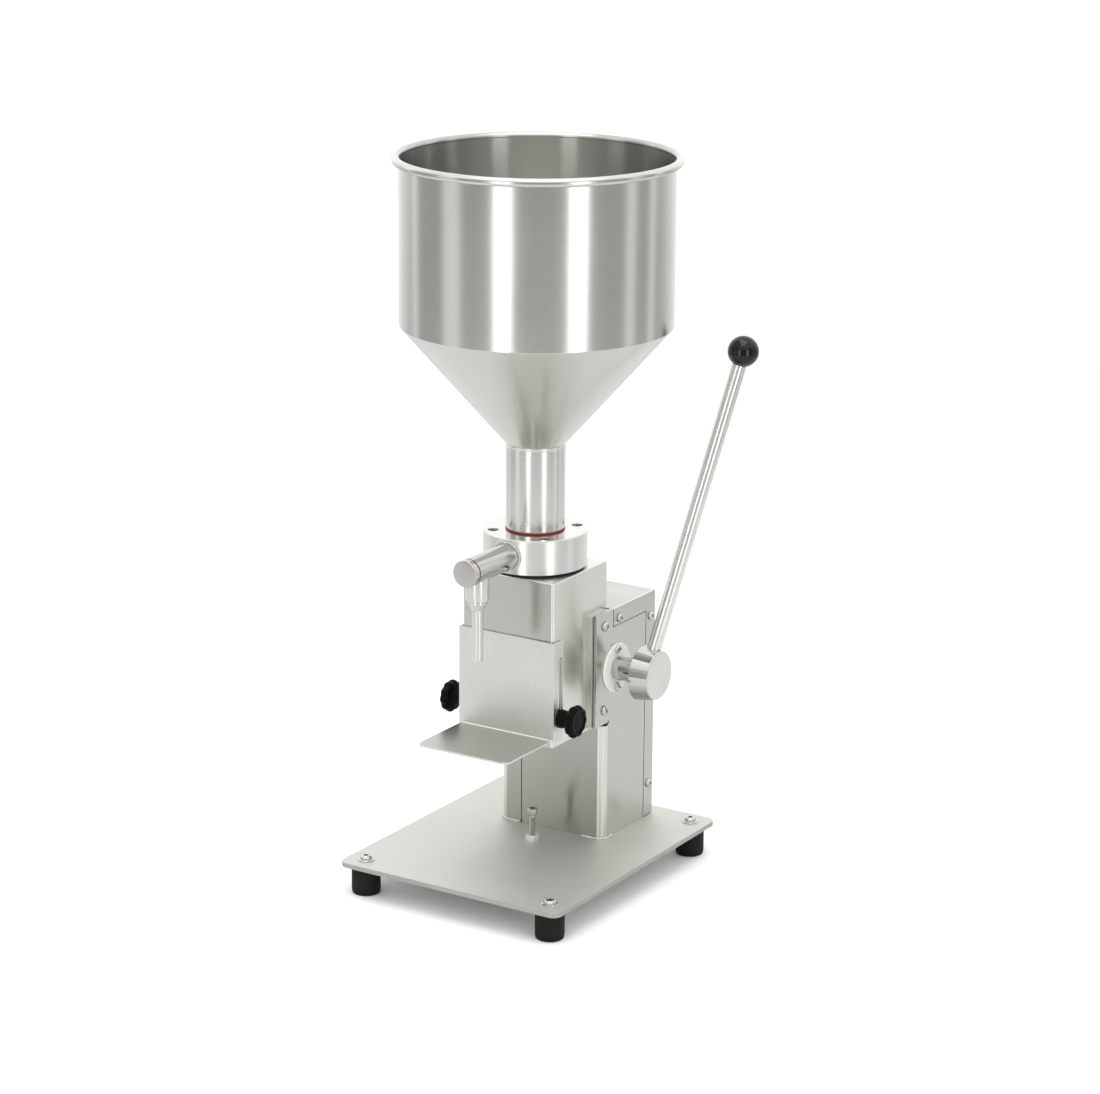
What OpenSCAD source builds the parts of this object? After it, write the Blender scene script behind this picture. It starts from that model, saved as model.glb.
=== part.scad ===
// Manual honey filling machine: a bench piston filler worked by a side lever.
// The lever turns a gear that drives a toothed rod, and the rod carries the piston under the hopper.
// Millimetres, +Z up, front at -Y, lever at +X. The origin is on the bench, under the hopper's axis.

/* [Base] */
// Width of the base plate
base_w = 264; // [240:1:300]
// Depth of the base plate
base_d = 320; // [300:1:360]
// Thickness of the base plate
base_t = 5; // [4:0.5:8]
// Corner radius of the base plate
base_corner_r = 10; // [4:1:20]
// How far the plate's centre lies in front of the hopper's axis
base_setback = 5; // [0:0.5:12]
// Height of the rubber feet
foot_h = 30; // [22:1:40]
// Diameter of the rubber feet
foot_d = 30; // [24:1:36]
// Distance of the feet's centres from the plate's edges
foot_inset = 20.5; // [18:0.5:30]
// Diameter of the foot screws' heads
foot_head_d = 17.6; // [14:0.2:20]
// Height of the foot screws' heads
foot_head_h = 5; // [3:0.5:7]

/* [Column] */
// Thickness of the doubler plates between the box and the column's ears
doubler_t = 5.5; // [4:0.5:9]
// Distance of the column's front face behind the hopper's axis
col_front = 35; // [33:0.5:38]
// Depth of the column, front face to back
col_d = 101; // [92:1:120]
// Height of the column above the base plate
col_h = 249; // [240:1:262]
// Thickness of the side sheets
side_t = 3; // [2:0.5:4]
// Outer radius of the side sheets' front bends
bend_r = 9; // [6:0.5:12]
// Width of each front flange, from the column's side
flange_w = 25.5; // [20:0.5:30]
// Thickness of the front panel
panel_t = 2; // [1.5:0.5:3]
// How far the front panel is set back from the flanges
panel_recess = 1; // [0.5:0.25:1.5]
// How far the ears reach in front of the column's face
ear_reach = 17; // [12:0.5:20]
// Height of the ears, down from the column's top
ear_h = 121; // [112:1:123]
// Distance of the ear bolts from the ears' top and bottom edges
ear_bolt_inset = 15; // [12:0.5:22]

/* [Rear cover] */
// Sheet thickness of the rear cover
cover_t = 2; // [1:0.5:2.5]
// Height of the cover's top lips
lip_h = 20; // [16:0.5:26]
// Width of the cover's rear flanges
cover_flange_w = 19; // [16:0.5:24]
// Thickness of the cleats that the cover is screwed to
cleat_t = 3; // [2:0.5:4]

/* [Front box] */
// Width of the front box
box_w = 110; // [106:0.5:113]
// Distance of the box's front from the hopper's axis
box_front = 51.5; // [48:0.5:56]
// Distance of the box's back from the hopper's axis
box_rear = 51; // [46:0.5:54]
// Height of the box
box_h = 174; // [166:1:184]
// Height of the box's open bottom above the base plate
box_lift = 125; // [122:1:130]
// Wall thickness of the box
box_t = 2; // [1.5:0.5:3]
// Thickness of the box's top
box_top_t = 4; // [3:0.5:6]
// Outer radius of the box's front bends
box_bend_r = 3.5; // [3:0.5:6]

/* [Head] */
// Diameter of the head disc
head_d = 107; // [100:1:112]
// Height of the head disc
head_h = 36; // [34:0.5:40]
// Thickness of the gasket under the head
gasket_t = 3; // [1.5:0.5:4]
// Diameter of the gasket under the head
gasket_d = 101; // [98:0.5:102]
// Pitch circle of the head screws
head_pcd = 87.5; // [84:0.5:89]
// Depth of the head screws' counterbores
head_cbore_h = 8; // [7:0.5:10]
// Diameter of the inlet bore
inlet_d = 22; // [18:0.5:24]
// Height of the spigot that the hopper sits over
spigot_h = 20; // [14:1:26]
// Cord diameter of the red ring under the hopper
o_ring_d = 2.6; // [2:0.1:3]

/* [Outlet] */
// Outer diameter of the outlet pipe
pipe_d = 28; // [26:0.5:30]
// Bore of the outlet pipe
pipe_bore = 20; // [18:0.5:21]
// Bore of the outlet's valve seat
seat_bore = 14; // [12:0.5:15]
// Height of the pipe's axis above the head's underside
pipe_rise = 18; // [17:0.5:19]
// Distance of the plug's face in front of the hopper's axis
plug_reach = 130.5; // [126:0.5:140]
// Length of the plug's head
plug_head_l = 7; // [5:0.5:10]
// Cord diameter of the red ring behind the plug's head
plug_ring_d = 1.4; // [1:0.1:2]
// Length of the plug's neck inside the pipe
plug_neck_l = 5; // [4:0.5:6]
// Distance of the nozzle's axis in front of the hopper's axis
nozzle_reach = 106.5; // [102:0.5:107]
// Diameter of the nozzle's boss
boss_d = 24; // [20:0.5:26]
// Drop of the boss below the pipe's axis
boss_drop = 30; // [24:0.5:34]
// Drop of the conical collar below the boss
collar_h = 12; // [8:0.5:14]
// Outer diameter of the nozzle tube
nozzle_d = 11.5; // [10.5:0.5:14]
// Bore of the nozzle tube
nozzle_bore = 8.5; // [6:0.5:9]
// Drop of the nozzle's tip below the pipe's axis
nozzle_drop = 95.5; // [80:0.5:100]
// Diameter of the outlet's ball
ball_valve_d = 16; // [15:0.5:17]

/* [Hopper] */
// Outer diameter of the hopper
hopper_d = 275.5; // [240:0.5:290]
// Height of the hopper's straight wall
hopper_wall_h = 170.5; // [140:0.5:200]
// Height of the hopper's cone
hopper_cone_h = 122.5; // [100:0.5:140]
// Sheet thickness of the hopper
hopper_t = 1; // [0.8:0.1:2]
// Diameter of the rolled rim
rim_d = 8.4; // [6:0.2:10]
// Outer diameter of the spout
spout_d = 60.5; // [58:0.5:64]
// Wall thickness of the spout
spout_t = 2; // [1.5:0.25:2.5]
// Length of the spout
spout_l = 86.5; // [70:0.5:100]

/* [Piston and drive] */
// Bore of the cylinder
bore_d = 50; // [48.5:0.5:51]
// Wall thickness of the cylinder
cylinder_t = 3.5; // [2.5:0.25:4]
// Depth of the pumping chamber in the head's underside
chamber_h = 8; // [7:0.5:9]
// Stroke of the piston
stroke = 66; // [50:1:66]
// Height of the piston
piston_h = 15.5; // [14:0.5:15.5]
// Width of the toothed rod
rod_w = 16; // [14:0.5:18]
// Distance of the rod's plain front face from its axis
rod_front = 8; // [6:0.5:10]
// Distance of the lever shaft behind the hopper's axis
shaft_back = 57.5; // [57:0.25:59]
// Height of the lever shaft above the base plate
shaft_rise = 184; // [180:1:186]
// Diameter of the lever shaft
shaft_d = 20; // [16:0.5:22]
// Tooth module of the gear and rack
gear_module = 2.5; // [2.4:0.05:2.5]
// Teeth on the gear
gear_teeth = 36; // [34:2:36]
// Face width of the gear
gear_w = 14; // [10:0.5:18]
// Height of the stop screw's head above the base plate
stop_h = 35; // [28:0.5:38]

/* [Lever] */
// Diameter of the white bushings' flanges
bushing_flange_d = 52; // [48:0.5:56]
// Thickness of the bushings' flanges
bushing_flange_t = 2; // [1.5:0.5:4]
// Outer diameter of the bushings' sleeves
bushing_d = 30; // [28:0.5:32]
// Distance between the two screws of a bushing
bushing_pcd = 41; // [40:0.5:43]
// Diameter of the hub's neck
neck_d = 25; // [24:0.5:28]
// Length of the hub's neck
neck_l = 29; // [24:0.5:34]
// Diameter of the hub's cone at its inner end
cone_d = 58; // [54:0.5:62]
// Length of the hub's cone
cone_l = 20.5; // [18:0.5:26]
// How far the lever leans out to the side, in degrees
lever_out = 10; // [6:0.5:12]
// How far the lever leans back at rest, in degrees
lever_back = 13.6; // [8:0.2:20]
// Length of the lever, from the shaft to the ball's centre
lever_l = 346.5; // [300:0.5:360]
// Diameter of the lever rod
lever_d = 15; // [12:0.5:16]
// Diameter of the ball
ball_d = 32; // [28:0.5:40]

/* [Shelf] */
// Width of the shelf
shelf_w = 109; // [90:0.5:110]
// Depth of the shelf in front of its back plate
shelf_d = 82.5; // [60:0.5:90]
// Height of the shelf's back plate
shelf_plate_h = 103.5; // [98:0.5:112]
// Height of the shelf's top above the base plate
shelf_rise = 134; // [130:0.5:140]
// Sheet thickness of the shelf
shelf_t = 2; // [1.5:0.25:3]
// Depth of the shelf's side flanges
shelf_flange_d = 18; // [16:0.5:26]
// Distance of the slots behind the back plate's face
slot_back = 12.8; // [11:0.2:14]
// How far the shelf can be let down
shelf_travel = 60; // [40:1:60]
// Height of the knobs above the base plate
knob_rise = 155; // [154:0.5:160]
// Diameter of the clamp knobs
knob_d = 34; // [28:0.5:38]
// Length of the knobs' heads
knob_head_l = 9.5; // [8:0.5:14]
// Diameter of the knobs' necks
knob_neck_d = 19.4; // [17:0.2:22]
// Length of the knobs' necks
knob_neck_l = 13; // [10:0.5:18]
// Lobes round each knob
knob_lobes = 10; // [6:1:12]
// Diameter of the knobs' studs
stud_d = 8; // [6:0.5:8]

/* [Fits] */
// Gap round screws and between pieces that are fixed together
fit = 0.1; // [0.05:0.05:0.2]
// Running clearance of shafts and pins, on the radius
run = 0.05; // [0.02:0.01:0.08]
// Gap between pieces that slide past each other
slide = 0.3; // [0.2:0.05:0.4]
// Width of the seams between the folded sheets
seam = 0.6; // [0.4:0.1:1]
// Width of the slits between the rear cover and the side sheets
slit = 1.5; // [1:0.1:2]
// Play between the teeth, on each tooth's thickness
backlash = 0.3; // [0.2:0.05:0.4]

/* [Hidden] */
$fn = 72;
steel = "#c9cac4";
steel_dark = "#9c9d98";
black = "#262625";
red = "#8e3a3a";
white = "#f2f3ef";

// Width of the column: the box, the doublers beside it and the side sheets
col_w = box_w + 2 * (doubler_t + side_t);

// Heights above the bench
plate_z = foot_h + base_t;
box_z = plate_z + box_lift;
box_top = box_z + box_h;
head_z = box_top + gasket_t;
head_top = head_z + head_h;
pipe_z = head_z + pipe_rise;
spout_z = head_top + o_ring_d + 2 * fit;
cone_z = spout_z + spout_l;
wall_z = cone_z + hopper_cone_h;
col_top = plate_z + col_h;
ear_z = col_top - ear_h;
lip_z = col_top - lip_h;
shaft_z = plate_z + shaft_rise;
knob_z = plate_z + knob_rise;
shelf_z = plate_z + shelf_rise;

// Depths from the hopper's axis
base_y = -base_setback;
col_rear = col_front + col_d;
cover_seam_y = col_rear - cover_flange_w;
ear_front = col_front - ear_reach;
lip_y = box_rear + slit;
plate_back_y = -box_front - slide;
plate_face_y = plate_back_y - shelf_t;
slot_y = plate_face_y + slot_back;
ear_bolt_y = col_front;
ear_bolt_zs = [ear_z + ear_bolt_inset, col_top - ear_bolt_inset - 2 * fit];

// Screws
m5 = 5;
m6 = 6;
m8 = 8;
m5_head_d = 9.6;
m5_head_h = 3.2;
m6_head_d = 10.5;
m6_head_h = 7;
cover_screw_l = cover_t + 2 * cleat_t + 1;
cover_lip_screw = [lip_y + lip_h / 2 + 1, col_top - lip_h * 0.65];
flange_screw_y = col_rear - cover_flange_w / 2 + 0.5;
flange_screw_rise = 36;
cover_flange_screws = [[flange_screw_y, lip_z - 7], [flange_screw_y, plate_z + flange_screw_rise]];
stop_y = -2;
stop_top = plate_z + stop_h;
stop_below = 12;
stop_end = foot_h - stop_below;
stop_nut_h = 6;

// Gear and rack
pitch_r = gear_module * gear_teeth / 2;
tip_r = pitch_r + gear_module;
root_r = pitch_r - 1.25 * gear_module;
pressure = 20;
base_r = pitch_r * cos(pressure);
tooth_pitch = PI * gear_module;
tooth_t = tooth_pitch / 2 - backlash;
flank_steps = 4;
gear_boss_t = 8;
gear_boss_l = 6;
rack_y = shaft_back - pitch_r;
rack_root_y = rack_y - 1.25 * gear_module;
rack_tip_y = rack_y + gear_module - slide;

// Piston
stop_gap = 1;
rod_end_z = stop_top + stop_gap + stroke;
piston_top = head_z + chamber_h - 5;
piston_z = piston_top - piston_h;
rod_neck_d = 14;
rod_neck_l = piston_h * 0.55;
seal_d = 2.6;
cylinder_r = bore_d / 2 + cylinder_t;
cylinder_z = piston_z - stroke;
rack_low = shaft_z - 3 * tooth_pitch;
rack_high = piston_z - tooth_pitch;

// Valves
valve_recess_r = inlet_d / 2 + 4;
valve_recess_h = 7;
valve_seat_z = head_z + chamber_h + valve_recess_h;
valve_head_h = 3;
valve_r = inlet_d / 2 + 2.5;
stem_d = 5;
spider_h = 4;
spider_r = inlet_d / 2 + 2;
spider_z = head_top - spider_h - 3;
funnel_r = spider_r + 1.5;
inlet_spring_h = 16;
inlet_nut_h = 4;
spring_wire = 1.2;
spring_turns = 6;
port_d = 7;
port_wall = 1;
port_y = -(bore_d / 2 - port_d / 2 - port_wall);
head_r = head_d / 2;
spigot_r = spout_d / 2 - spout_t - slide;
seat_y = -(head_r + 8.5);
ball_valve_r = ball_valve_d / 2;
ball_y = seat_y - sqrt(pow(ball_valve_r, 2) - pow(seat_bore / 2, 2)) - slide / 2;
pipe_end_y = -(plug_reach - plug_head_l - plug_ring_d - 2 * fit);
plug_in_y = pipe_end_y + plug_neck_l;
spring_nest = 1;
boss_bore = boss_d - 6;
tube_in = 4;
tube_neck_d = nozzle_d - 1;
collar_z = pipe_z - boss_drop - collar_h;
outlet_spring_l = ball_y - ball_valve_r + spring_nest - plug_in_y;

// Lever, drawn upright along the shaft's own X and then leaned
bushing_face = col_w / 2 + bushing_flange_t;
bushing_edge = 0.8;
hub_x = bushing_face + 0.5;
cone_x = hub_x + neck_l;
cone_end_d = cone_d - 2 * cone_l * tan(lever_out);
lever_x = cone_x + cone_l / 2 - (cone_d + cone_end_d) / 4 * tan(lever_out);
shaft_left = -(bushing_face + 4.5);
shaft_right = cone_x + cone_l - 5;
key_w = 6;
ring_t = 1.5;
ring_x = shaft_left + ring_t + fit;
ring_groove_d = shaft_d - 3;
lever_seat = shaft_d / 2 + 3;
ball_hole_d = 10;
ball_flat = ball_d * 0.44;

// Legs of the weld beads
weld_w = 2.8;

// Knobs
knob_x = box_w / 2 + slide + shelf_t + slide;
flange_x = box_w / 2 + slide;

// General shapes

// A round bar along X, from x0 to x1
module bar_x(x0, x1, d) {
    translate([x0, 0, 0]) rotate([0, 90, 0]) cylinder(h = x1 - x0, d = d);
}

// A round bar along Y, from y0 to y1
module bar_y(y0, y1, d) {
    translate([0, y0, 0]) rotate([-90, 0, 0]) cylinder(h = y1 - y0, d = d);
}

// A cone along Y, from diameter d0 at y0 to d1 at y1
module cone_y(y0, y1, d0, d1) {
    translate([0, y0, 0]) rotate([-90, 0, 0]) cylinder(h = y1 - y0, d1 = d0, d2 = d1);
}

// A block between two corners
module block(low, high) {
    translate(low) cube(high - low);
}

// A rectangle about the origin with rounded corners
module rounded_square(w, d, r) {
    square([w - 2 * r, d], center = true);
    square([w, d - 2 * r], center = true);
    for (x = [-1, 1], y = [-1, 1]) translate([x * (w / 2 - r), y * (d / 2 - r)]) circle(r = r);
}

// A round ring of cord
module cord_ring(r, d) {
    rotate_extrude() translate([r, 0]) circle(d = d, $fn = 32);
}

// A button-head screw that points down, with its head on the plane z = 0
module button_screw(head_d, head_h, shank_d, shank_l) {
    difference() {
        union() {
            cylinder(h = head_h * 0.35, d = head_d);
            translate([0, 0, head_h * 0.35]) cylinder(h = head_h * 0.65, d1 = head_d, d2 = head_d * 0.55);
        }
        translate([0, 0, head_h * 0.45]) cylinder(h = head_h, d = shank_d * 0.68, $fn = 6);
    }
    translate([0, 0, -shank_l]) cylinder(h = shank_l, d = shank_d);
}

// A cap screw that points down, with its head on the plane z = 0
module cap_screw(head_d, head_h, shank_d, shank_l) {
    difference() {
        cylinder(h = head_h, d = head_d);
        translate([0, 0, head_h * 0.5]) cylinder(h = head_h, d = shank_d * 0.9, $fn = 6);
    }
    translate([0, 0, -shank_l]) cylinder(h = shank_l, d = shank_d);
}

// Children at both sides of the machine, the second mirrored
module both_sides() {
    children();
    mirror([1, 0, 0]) children();
}

// Children at the four feet
module at_feet() {
    for (x = [-1, 1], y = [-1, 1]) at_foot(x, y) children();
}

// Children at one foot
module at_foot(x, y) {
    translate([x * (base_w / 2 - foot_inset), base_y + y * (base_d / 2 - foot_inset), 0]) children();
}

// Children at the four head screws
module at_head_screws() {
    for (a = [45:90:315]) rotate(a) translate([head_pcd / 2, 0, 0]) children();
}

// Children at the shaft's centre
module at_shaft() {
    translate([0, shaft_back, shaft_z]) children();
}

// Children turned so that their +Z points out of the right side, at height z and depth y
module on_right_side(x, y, z) {
    translate([x, y, z]) rotate([0, 90, 0]) children();
}

// Base

module base_plate() {
    color(steel) difference() {
        translate([0, base_y, foot_h]) linear_extrude(base_t)
            rounded_square(base_w, base_d, base_corner_r);
        at_feet() cylinder(h = plate_z + 1, d = m8 + 2 * fit);
        translate([0, stop_y, 0]) cylinder(h = plate_z + 1, d = m6 + 2 * run);
    }
}

module foot(x, y) {
    chamfer = 2;
    color(black) at_foot(x, y) difference() {
        union() {
            cylinder(h = chamfer, d1 = foot_d - chamfer, d2 = foot_d);
            translate([0, 0, chamfer]) cylinder(h = foot_h - chamfer, d = foot_d);
        }
        translate([0, 0, foot_h / 2 - 1]) cylinder(h = foot_h, d = m8 + 2 * fit);
    }
}

module foot_screws() {
    color(steel) at_feet() translate([0, 0, plate_z])
        button_screw(foot_head_d, foot_head_h, m8, base_t + foot_h / 2);
}

// Column

// Outline of the right side sheet where its front is bent into a flange
module side_profile() {
    x = col_w / 2;
    translate([x - side_t, col_front + bend_r]) square([side_t, cover_seam_y - col_front - bend_r]);
    translate([x - flange_w, col_front]) square([flange_w - bend_r, side_t]);
    translate([x - bend_r, col_front + bend_r]) difference() {
        intersection() {
            circle(r = bend_r);
            translate([0, -bend_r]) square(bend_r);
        }
        circle(r = bend_r - side_t);
    }
}

module column_side() {
    x = col_w / 2;
    relief_d = 3;
    difference() {
        union() {
            translate([0, 0, plate_z]) linear_extrude(box_z - seam - plate_z) side_profile();
            block([x - side_t, col_front + bend_r, plate_z], [x, cover_seam_y, lip_z]);
            block([x - side_t, ear_front, ear_z], [x, box_rear, col_top]);
        }
        on_right_side(x - bend_r - 1, col_front + bend_r, ear_z) cylinder(h = bend_r + 2, d = relief_d);
        for (z = ear_bolt_zs) on_right_side(0, ear_bolt_y, z) cylinder(h = x + 1, d = m6 + 2 * fit);
        at_shaft() bar_x(0, x + 1, bushing_d + 2 * fit);
        for (s = [-1, 1]) on_right_side(0, shaft_back, shaft_z + s * bushing_pcd / 2)
            cylinder(h = x + 1, d = m5 + 2 * fit);
    }
}

module column_side_left() {
    color(steel) mirror([1, 0, 0]) column_side();
}

module column_side_right() {
    color(steel) column_side();
}

module column_front_panel() {
    x = col_w / 2 - flange_w - seam / 2;
    y = col_front + panel_recess;
    color(steel) block([-x, y, plate_z], [x, y + panel_t, box_z]);
}

// Children at the right side's cover screws, with +Z out of the sheet
module at_cover_screws() {
    for (p = concat([cover_lip_screw], cover_flange_screws)) on_right_side(col_w / 2, p[0], p[1]) children();
}

module rear_cover() {
    x = col_w / 2;
    color(steel) difference() {
        union() {
            block([-x, lip_y, col_top - cover_t], [x, col_rear, col_top]);
            block([-x, col_rear - cover_t, plate_z + seam], [x, col_rear, col_top]);
            both_sides() {
                block([x - cover_t, lip_y, lip_z + seam], [x, col_rear, col_top]);
                block([x - cover_t, cover_seam_y + slit, plate_z + seam], [x, col_rear, col_top]);
            }
        }
        both_sides() at_cover_screws() translate([0, 0, -cover_t - 1])
            cylinder(h = cover_t + 2, d = m5 + 2 * fit);
    }
}

// One cleat: a strip under the side sheet, with a thicker end under the cover
module cleat(y0, y1, z0, z1, under_y, under_z) {
    x = col_w / 2;
    block([x - side_t - cleat_t, y0, z0], [x - side_t, y1, z1]);
    block([x - side_t - cleat_t, under_y, under_z], [x - cover_t, y1, z1]);
}

module cover_cleats() {
    half = 9;
    color(steel_dark) both_sides() difference() {
        union() {
            cleat(cover_lip_screw[0] - half, cover_lip_screw[0] + half, lip_z - 8, col_top - cover_t - 3,
                cover_lip_screw[0] - half, lip_z + seam);
            for (p = cover_flange_screws) cleat(cover_seam_y - 8, col_rear - cover_t - 3,
                p[1] - half, p[1] + min(half, lip_z - p[1]), cover_seam_y + slit, p[1] - half);
        }
        at_cover_screws() translate([0, 0, -cover_screw_l - 1])
            cylinder(h = cover_screw_l + 2, d = m5 + 2 * fit);
    }
}

module cover_screws() {
    color(steel) both_sides() at_cover_screws() button_screw(m5_head_d, m5_head_h, m5, cover_screw_l);
}

// Front box

// Outline of the box with its two front corners bent round
module box_outline(inset) {
    w = box_w - 2 * inset;
    r = box_bend_r - inset;
    front = -box_front + inset;
    rear = box_rear - inset;
    translate([-w / 2, front + r]) square([w, rear - front - r]);
    translate([-w / 2 + r, front]) square([w - 2 * r, 2 * r]);
    for (s = [-1, 1]) translate([s * (w / 2 - r), front + r]) circle(r = r);
}

module front_box() {
    nut_d = 14;
    nut_h = 6;
    inner = box_w / 2 - box_t;
    color(steel) difference() {
        union() {
            translate([0, 0, box_z]) difference() {
                linear_extrude(box_h) box_outline(0);
                translate([0, 0, -1]) linear_extrude(box_h - box_top_t + 1) box_outline(box_t);
                block([-inner, 0, -1], [inner, box_rear + 1, col_top - box_z]);
            }
            both_sides() on_right_side(inner - nut_h, slot_y, knob_z)
                cylinder(h = nut_h + box_t / 2, d = nut_d);
            at_head_screws() translate([0, 0, box_top - box_top_t - nut_h])
                cylinder(h = nut_h + box_top_t / 2, d = nut_d);
        }
        translate([0, 0, box_top - box_top_t - nut_h - 1])
            cylinder(h = box_top_t + nut_h + 2, r = cylinder_r + slide);
        at_head_screws() translate([0, 0, box_z]) cylinder(h = box_h + 1, d = m6 + 2 * fit);
        at_shaft() bar_x(-box_w, box_w, shaft_d + 10);
        for (z = ear_bolt_zs) translate([0, ear_bolt_y, z]) bar_x(-box_w, box_w, m6 + 2 * fit);
        translate([0, slot_y, knob_z]) bar_x(-box_w, box_w, stud_d + 2 * run);
    }
}

module box_doubler() {
    edge = 4;
    color(steel_dark) difference() {
        block([box_w / 2, ear_front - edge, ear_z], [box_w / 2 + doubler_t, box_rear - edge, col_top - seam]);
        for (z = ear_bolt_zs) translate([0, ear_bolt_y, z]) bar_x(0, col_w, m6 + 2 * fit);
        at_shaft() bar_x(0, col_w, bushing_d + 2);
    }
}

module box_doubler_left() {
    mirror([1, 0, 0]) box_doubler();
}

module box_doubler_right() {
    box_doubler();
}

module ear_bolts() {
    grip = col_w / 2 - box_w / 2 + box_t + 4;
    color(steel) both_sides() for (z = ear_bolt_zs) on_right_side(col_w / 2, ear_bolt_y, z)
        button_screw(m6_head_d, m5_head_h, m6, grip);
}

// A block on the box's front wall that the rod runs against
module rack_guide() {
    half_h = 14;
    cheek = 7;
    x = rod_w / 2 + slide;
    color(white) difference() {
        block([-x - cheek, -box_front + box_t, shaft_z - half_h], [x + cheek, 2, shaft_z + half_h]);
        block([-x, -rod_front - slide, shaft_z - half_h - 1], [x, 3, shaft_z + half_h + 1]);
    }
}

// Welds

// Half-section of a bead in a corner of two sheets
module bead_section() {
    polygon(weld_w * [[0, 0], [1, 0], [0.85, 0.5], [0.5, 0.85], [0, 1]]);
}

// Bead along the right flange's foot, round its bend and a little way along the side
module foot_bead() {
    flat_l = flange_w - bend_r;
    side_l = 8;
    translate([col_w / 2 - bend_r, col_front + bend_r, plate_z]) {
        rotate(-90) rotate_extrude(angle = 90) translate([bend_r, 0]) bead_section();
        translate([0, -bend_r, 0]) rotate([90, 0, -90]) linear_extrude(flat_l) bead_section();
        translate([bend_r, side_l, 0]) rotate([90, 0, 0]) linear_extrude(side_l) bead_section();
    }
}

// Bead round the pipe where it meets the head
module pipe_bead() {
    leg = weld_w * 0.65;
    difference() {
        translate([0, 0, pipe_z]) cone_y(-head_r - leg, -head_r / 2, pipe_d, pipe_d + head_r + 2 * leg);
        translate([0, 0, pipe_z - head_d]) cylinder(h = 2 * head_d, r = head_r);
        translate([0, 0, pipe_z]) bar_y(-head_d, 0, pipe_d);
    }
}

module weld_beads() {
    color(steel) {
        both_sides() foot_bead();
        pipe_bead($fn = 180);
    }
}

// Head

module head_gasket() {
    color(black) translate([0, 0, box_top]) difference() {
        cylinder(h = gasket_t, d = gasket_d);
        translate([0, 0, -1]) cylinder(h = gasket_t + 2, r = cylinder_r + slide);
        at_head_screws() translate([0, 0, -1]) cylinder(h = gasket_t + 2, d = m6 + 2 * fit);
    }
}

// Half-section of the head: the disc, the pumping chamber and the inlet passage
module head_section() {
    edge = 1;
    spider_seat_r = spider_r + fit;
    polygon([
        [bore_d / 2, head_z], [head_r, head_z], [head_r, head_top - edge], [head_r - edge, head_top],
        [funnel_r, head_top], [spider_seat_r, spider_z + spider_h], [spider_seat_r, spider_z],
        [inlet_d / 2, spider_z], [inlet_d / 2, valve_seat_z],
        [valve_recess_r, valve_seat_z], [valve_recess_r, head_z + chamber_h],
        [bore_d / 2, head_z + chamber_h]
    ]);
}

module head_disc() {
    color(steel) difference() {
        rotate_extrude() head_section();
        translate([0, port_y, head_z + chamber_h - 1]) cylinder(h = pipe_rise - chamber_h + 1, d = port_d);
        translate([0, 0, pipe_z]) bar_y(-head_r - 1, port_y, seat_bore);
        at_head_screws() {
            translate([0, 0, head_z - 1]) cylinder(h = head_h, d = m6 + 2 * fit);
            translate([0, 0, head_top - head_cbore_h]) cylinder(h = head_h, d = m6_head_d + 1);
        }
    }
}

// Ring welded on the head, which the hopper's spout fits over
module head_spigot() {
    lip = 3;
    spigot_top = head_top + spigot_h;
    color(steel) rotate_extrude() polygon([
        [funnel_r, head_top], [spigot_r, head_top], [spigot_r, spigot_top], [spigot_r - lip, spigot_top]
    ]);
}

module head_screws() {
    color(steel_dark) at_head_screws() translate([0, 0, head_top - head_cbore_h])
        cap_screw(m6_head_d, m6_head_h, m6, head_h - head_cbore_h + gasket_t + box_top_t + 5);
}

// Outlet

module outlet_pipe() {
    color(steel) difference() {
        translate([0, 0, pipe_z]) bar_y(pipe_end_y, -head_r / 2, pipe_d);
        translate([0, 0, head_z - 1]) cylinder(h = head_h + 2, r = head_r);
        translate([0, 0, pipe_z]) {
            bar_y(pipe_end_y - 1, 0, seat_bore);
            bar_y(pipe_end_y - 1, seat_y, pipe_bore);
        }
        translate([0, -nozzle_reach, pipe_z - pipe_d]) cylinder(h = pipe_d, d = boss_bore);
    }
}

module nozzle_socket() {
    boss_z = collar_z + collar_h;
    ring_h = collar_h * 0.45;
    ring_d = boss_d - 4.5;
    color(steel) difference() {
        union() {
            translate([0, -nozzle_reach, boss_z]) cylinder(h = boss_drop, d = boss_d);
            translate([0, -nozzle_reach, boss_z - ring_h]) cylinder(h = ring_h, d = ring_d);
            translate([0, -nozzle_reach, collar_z])
                cylinder(h = collar_h - ring_h, d1 = nozzle_d + 1.5, d2 = ring_d - 1.5);
        }
        translate([0, 0, pipe_z]) bar_y(-plug_reach, 0, pipe_d);
        translate([0, -nozzle_reach, collar_z - 1]) cylinder(h = boss_drop, d = tube_neck_d + 2 * fit);
        translate([0, -nozzle_reach, boss_z + tube_in]) cylinder(h = boss_drop, d = boss_bore);
    }
}

// The tube's upper end is turned down and sits in the socket
module nozzle_tube() {
    tip_z = pipe_z - nozzle_drop;
    free_l = collar_z - tip_z;
    neck_l = collar_h + tube_in;
    color(steel) translate([0, -nozzle_reach, tip_z]) difference() {
        union() {
            cylinder(h = free_l, d = nozzle_d);
            translate([0, 0, free_l]) cylinder(h = neck_l, d = tube_neck_d);
        }
        translate([0, 0, -1]) cylinder(h = free_l + neck_l + 2, d = nozzle_bore);
    }
}

module end_plug() {
    edge = 1.2;
    head_y = -plug_reach;
    neck = pipe_bore - 2 * fit;
    color(steel) translate([0, 0, pipe_z]) difference() {
        union() {
            cone_y(head_y, head_y + edge, pipe_d - 2 * edge, pipe_d);
            bar_y(head_y + edge, head_y + plug_head_l, pipe_d);
            bar_y(head_y + plug_head_l, plug_in_y, neck);
        }
        bar_y(plug_in_y - plug_neck_l / 2, plug_in_y + 1, pipe_bore / 4);
    }
}

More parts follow.
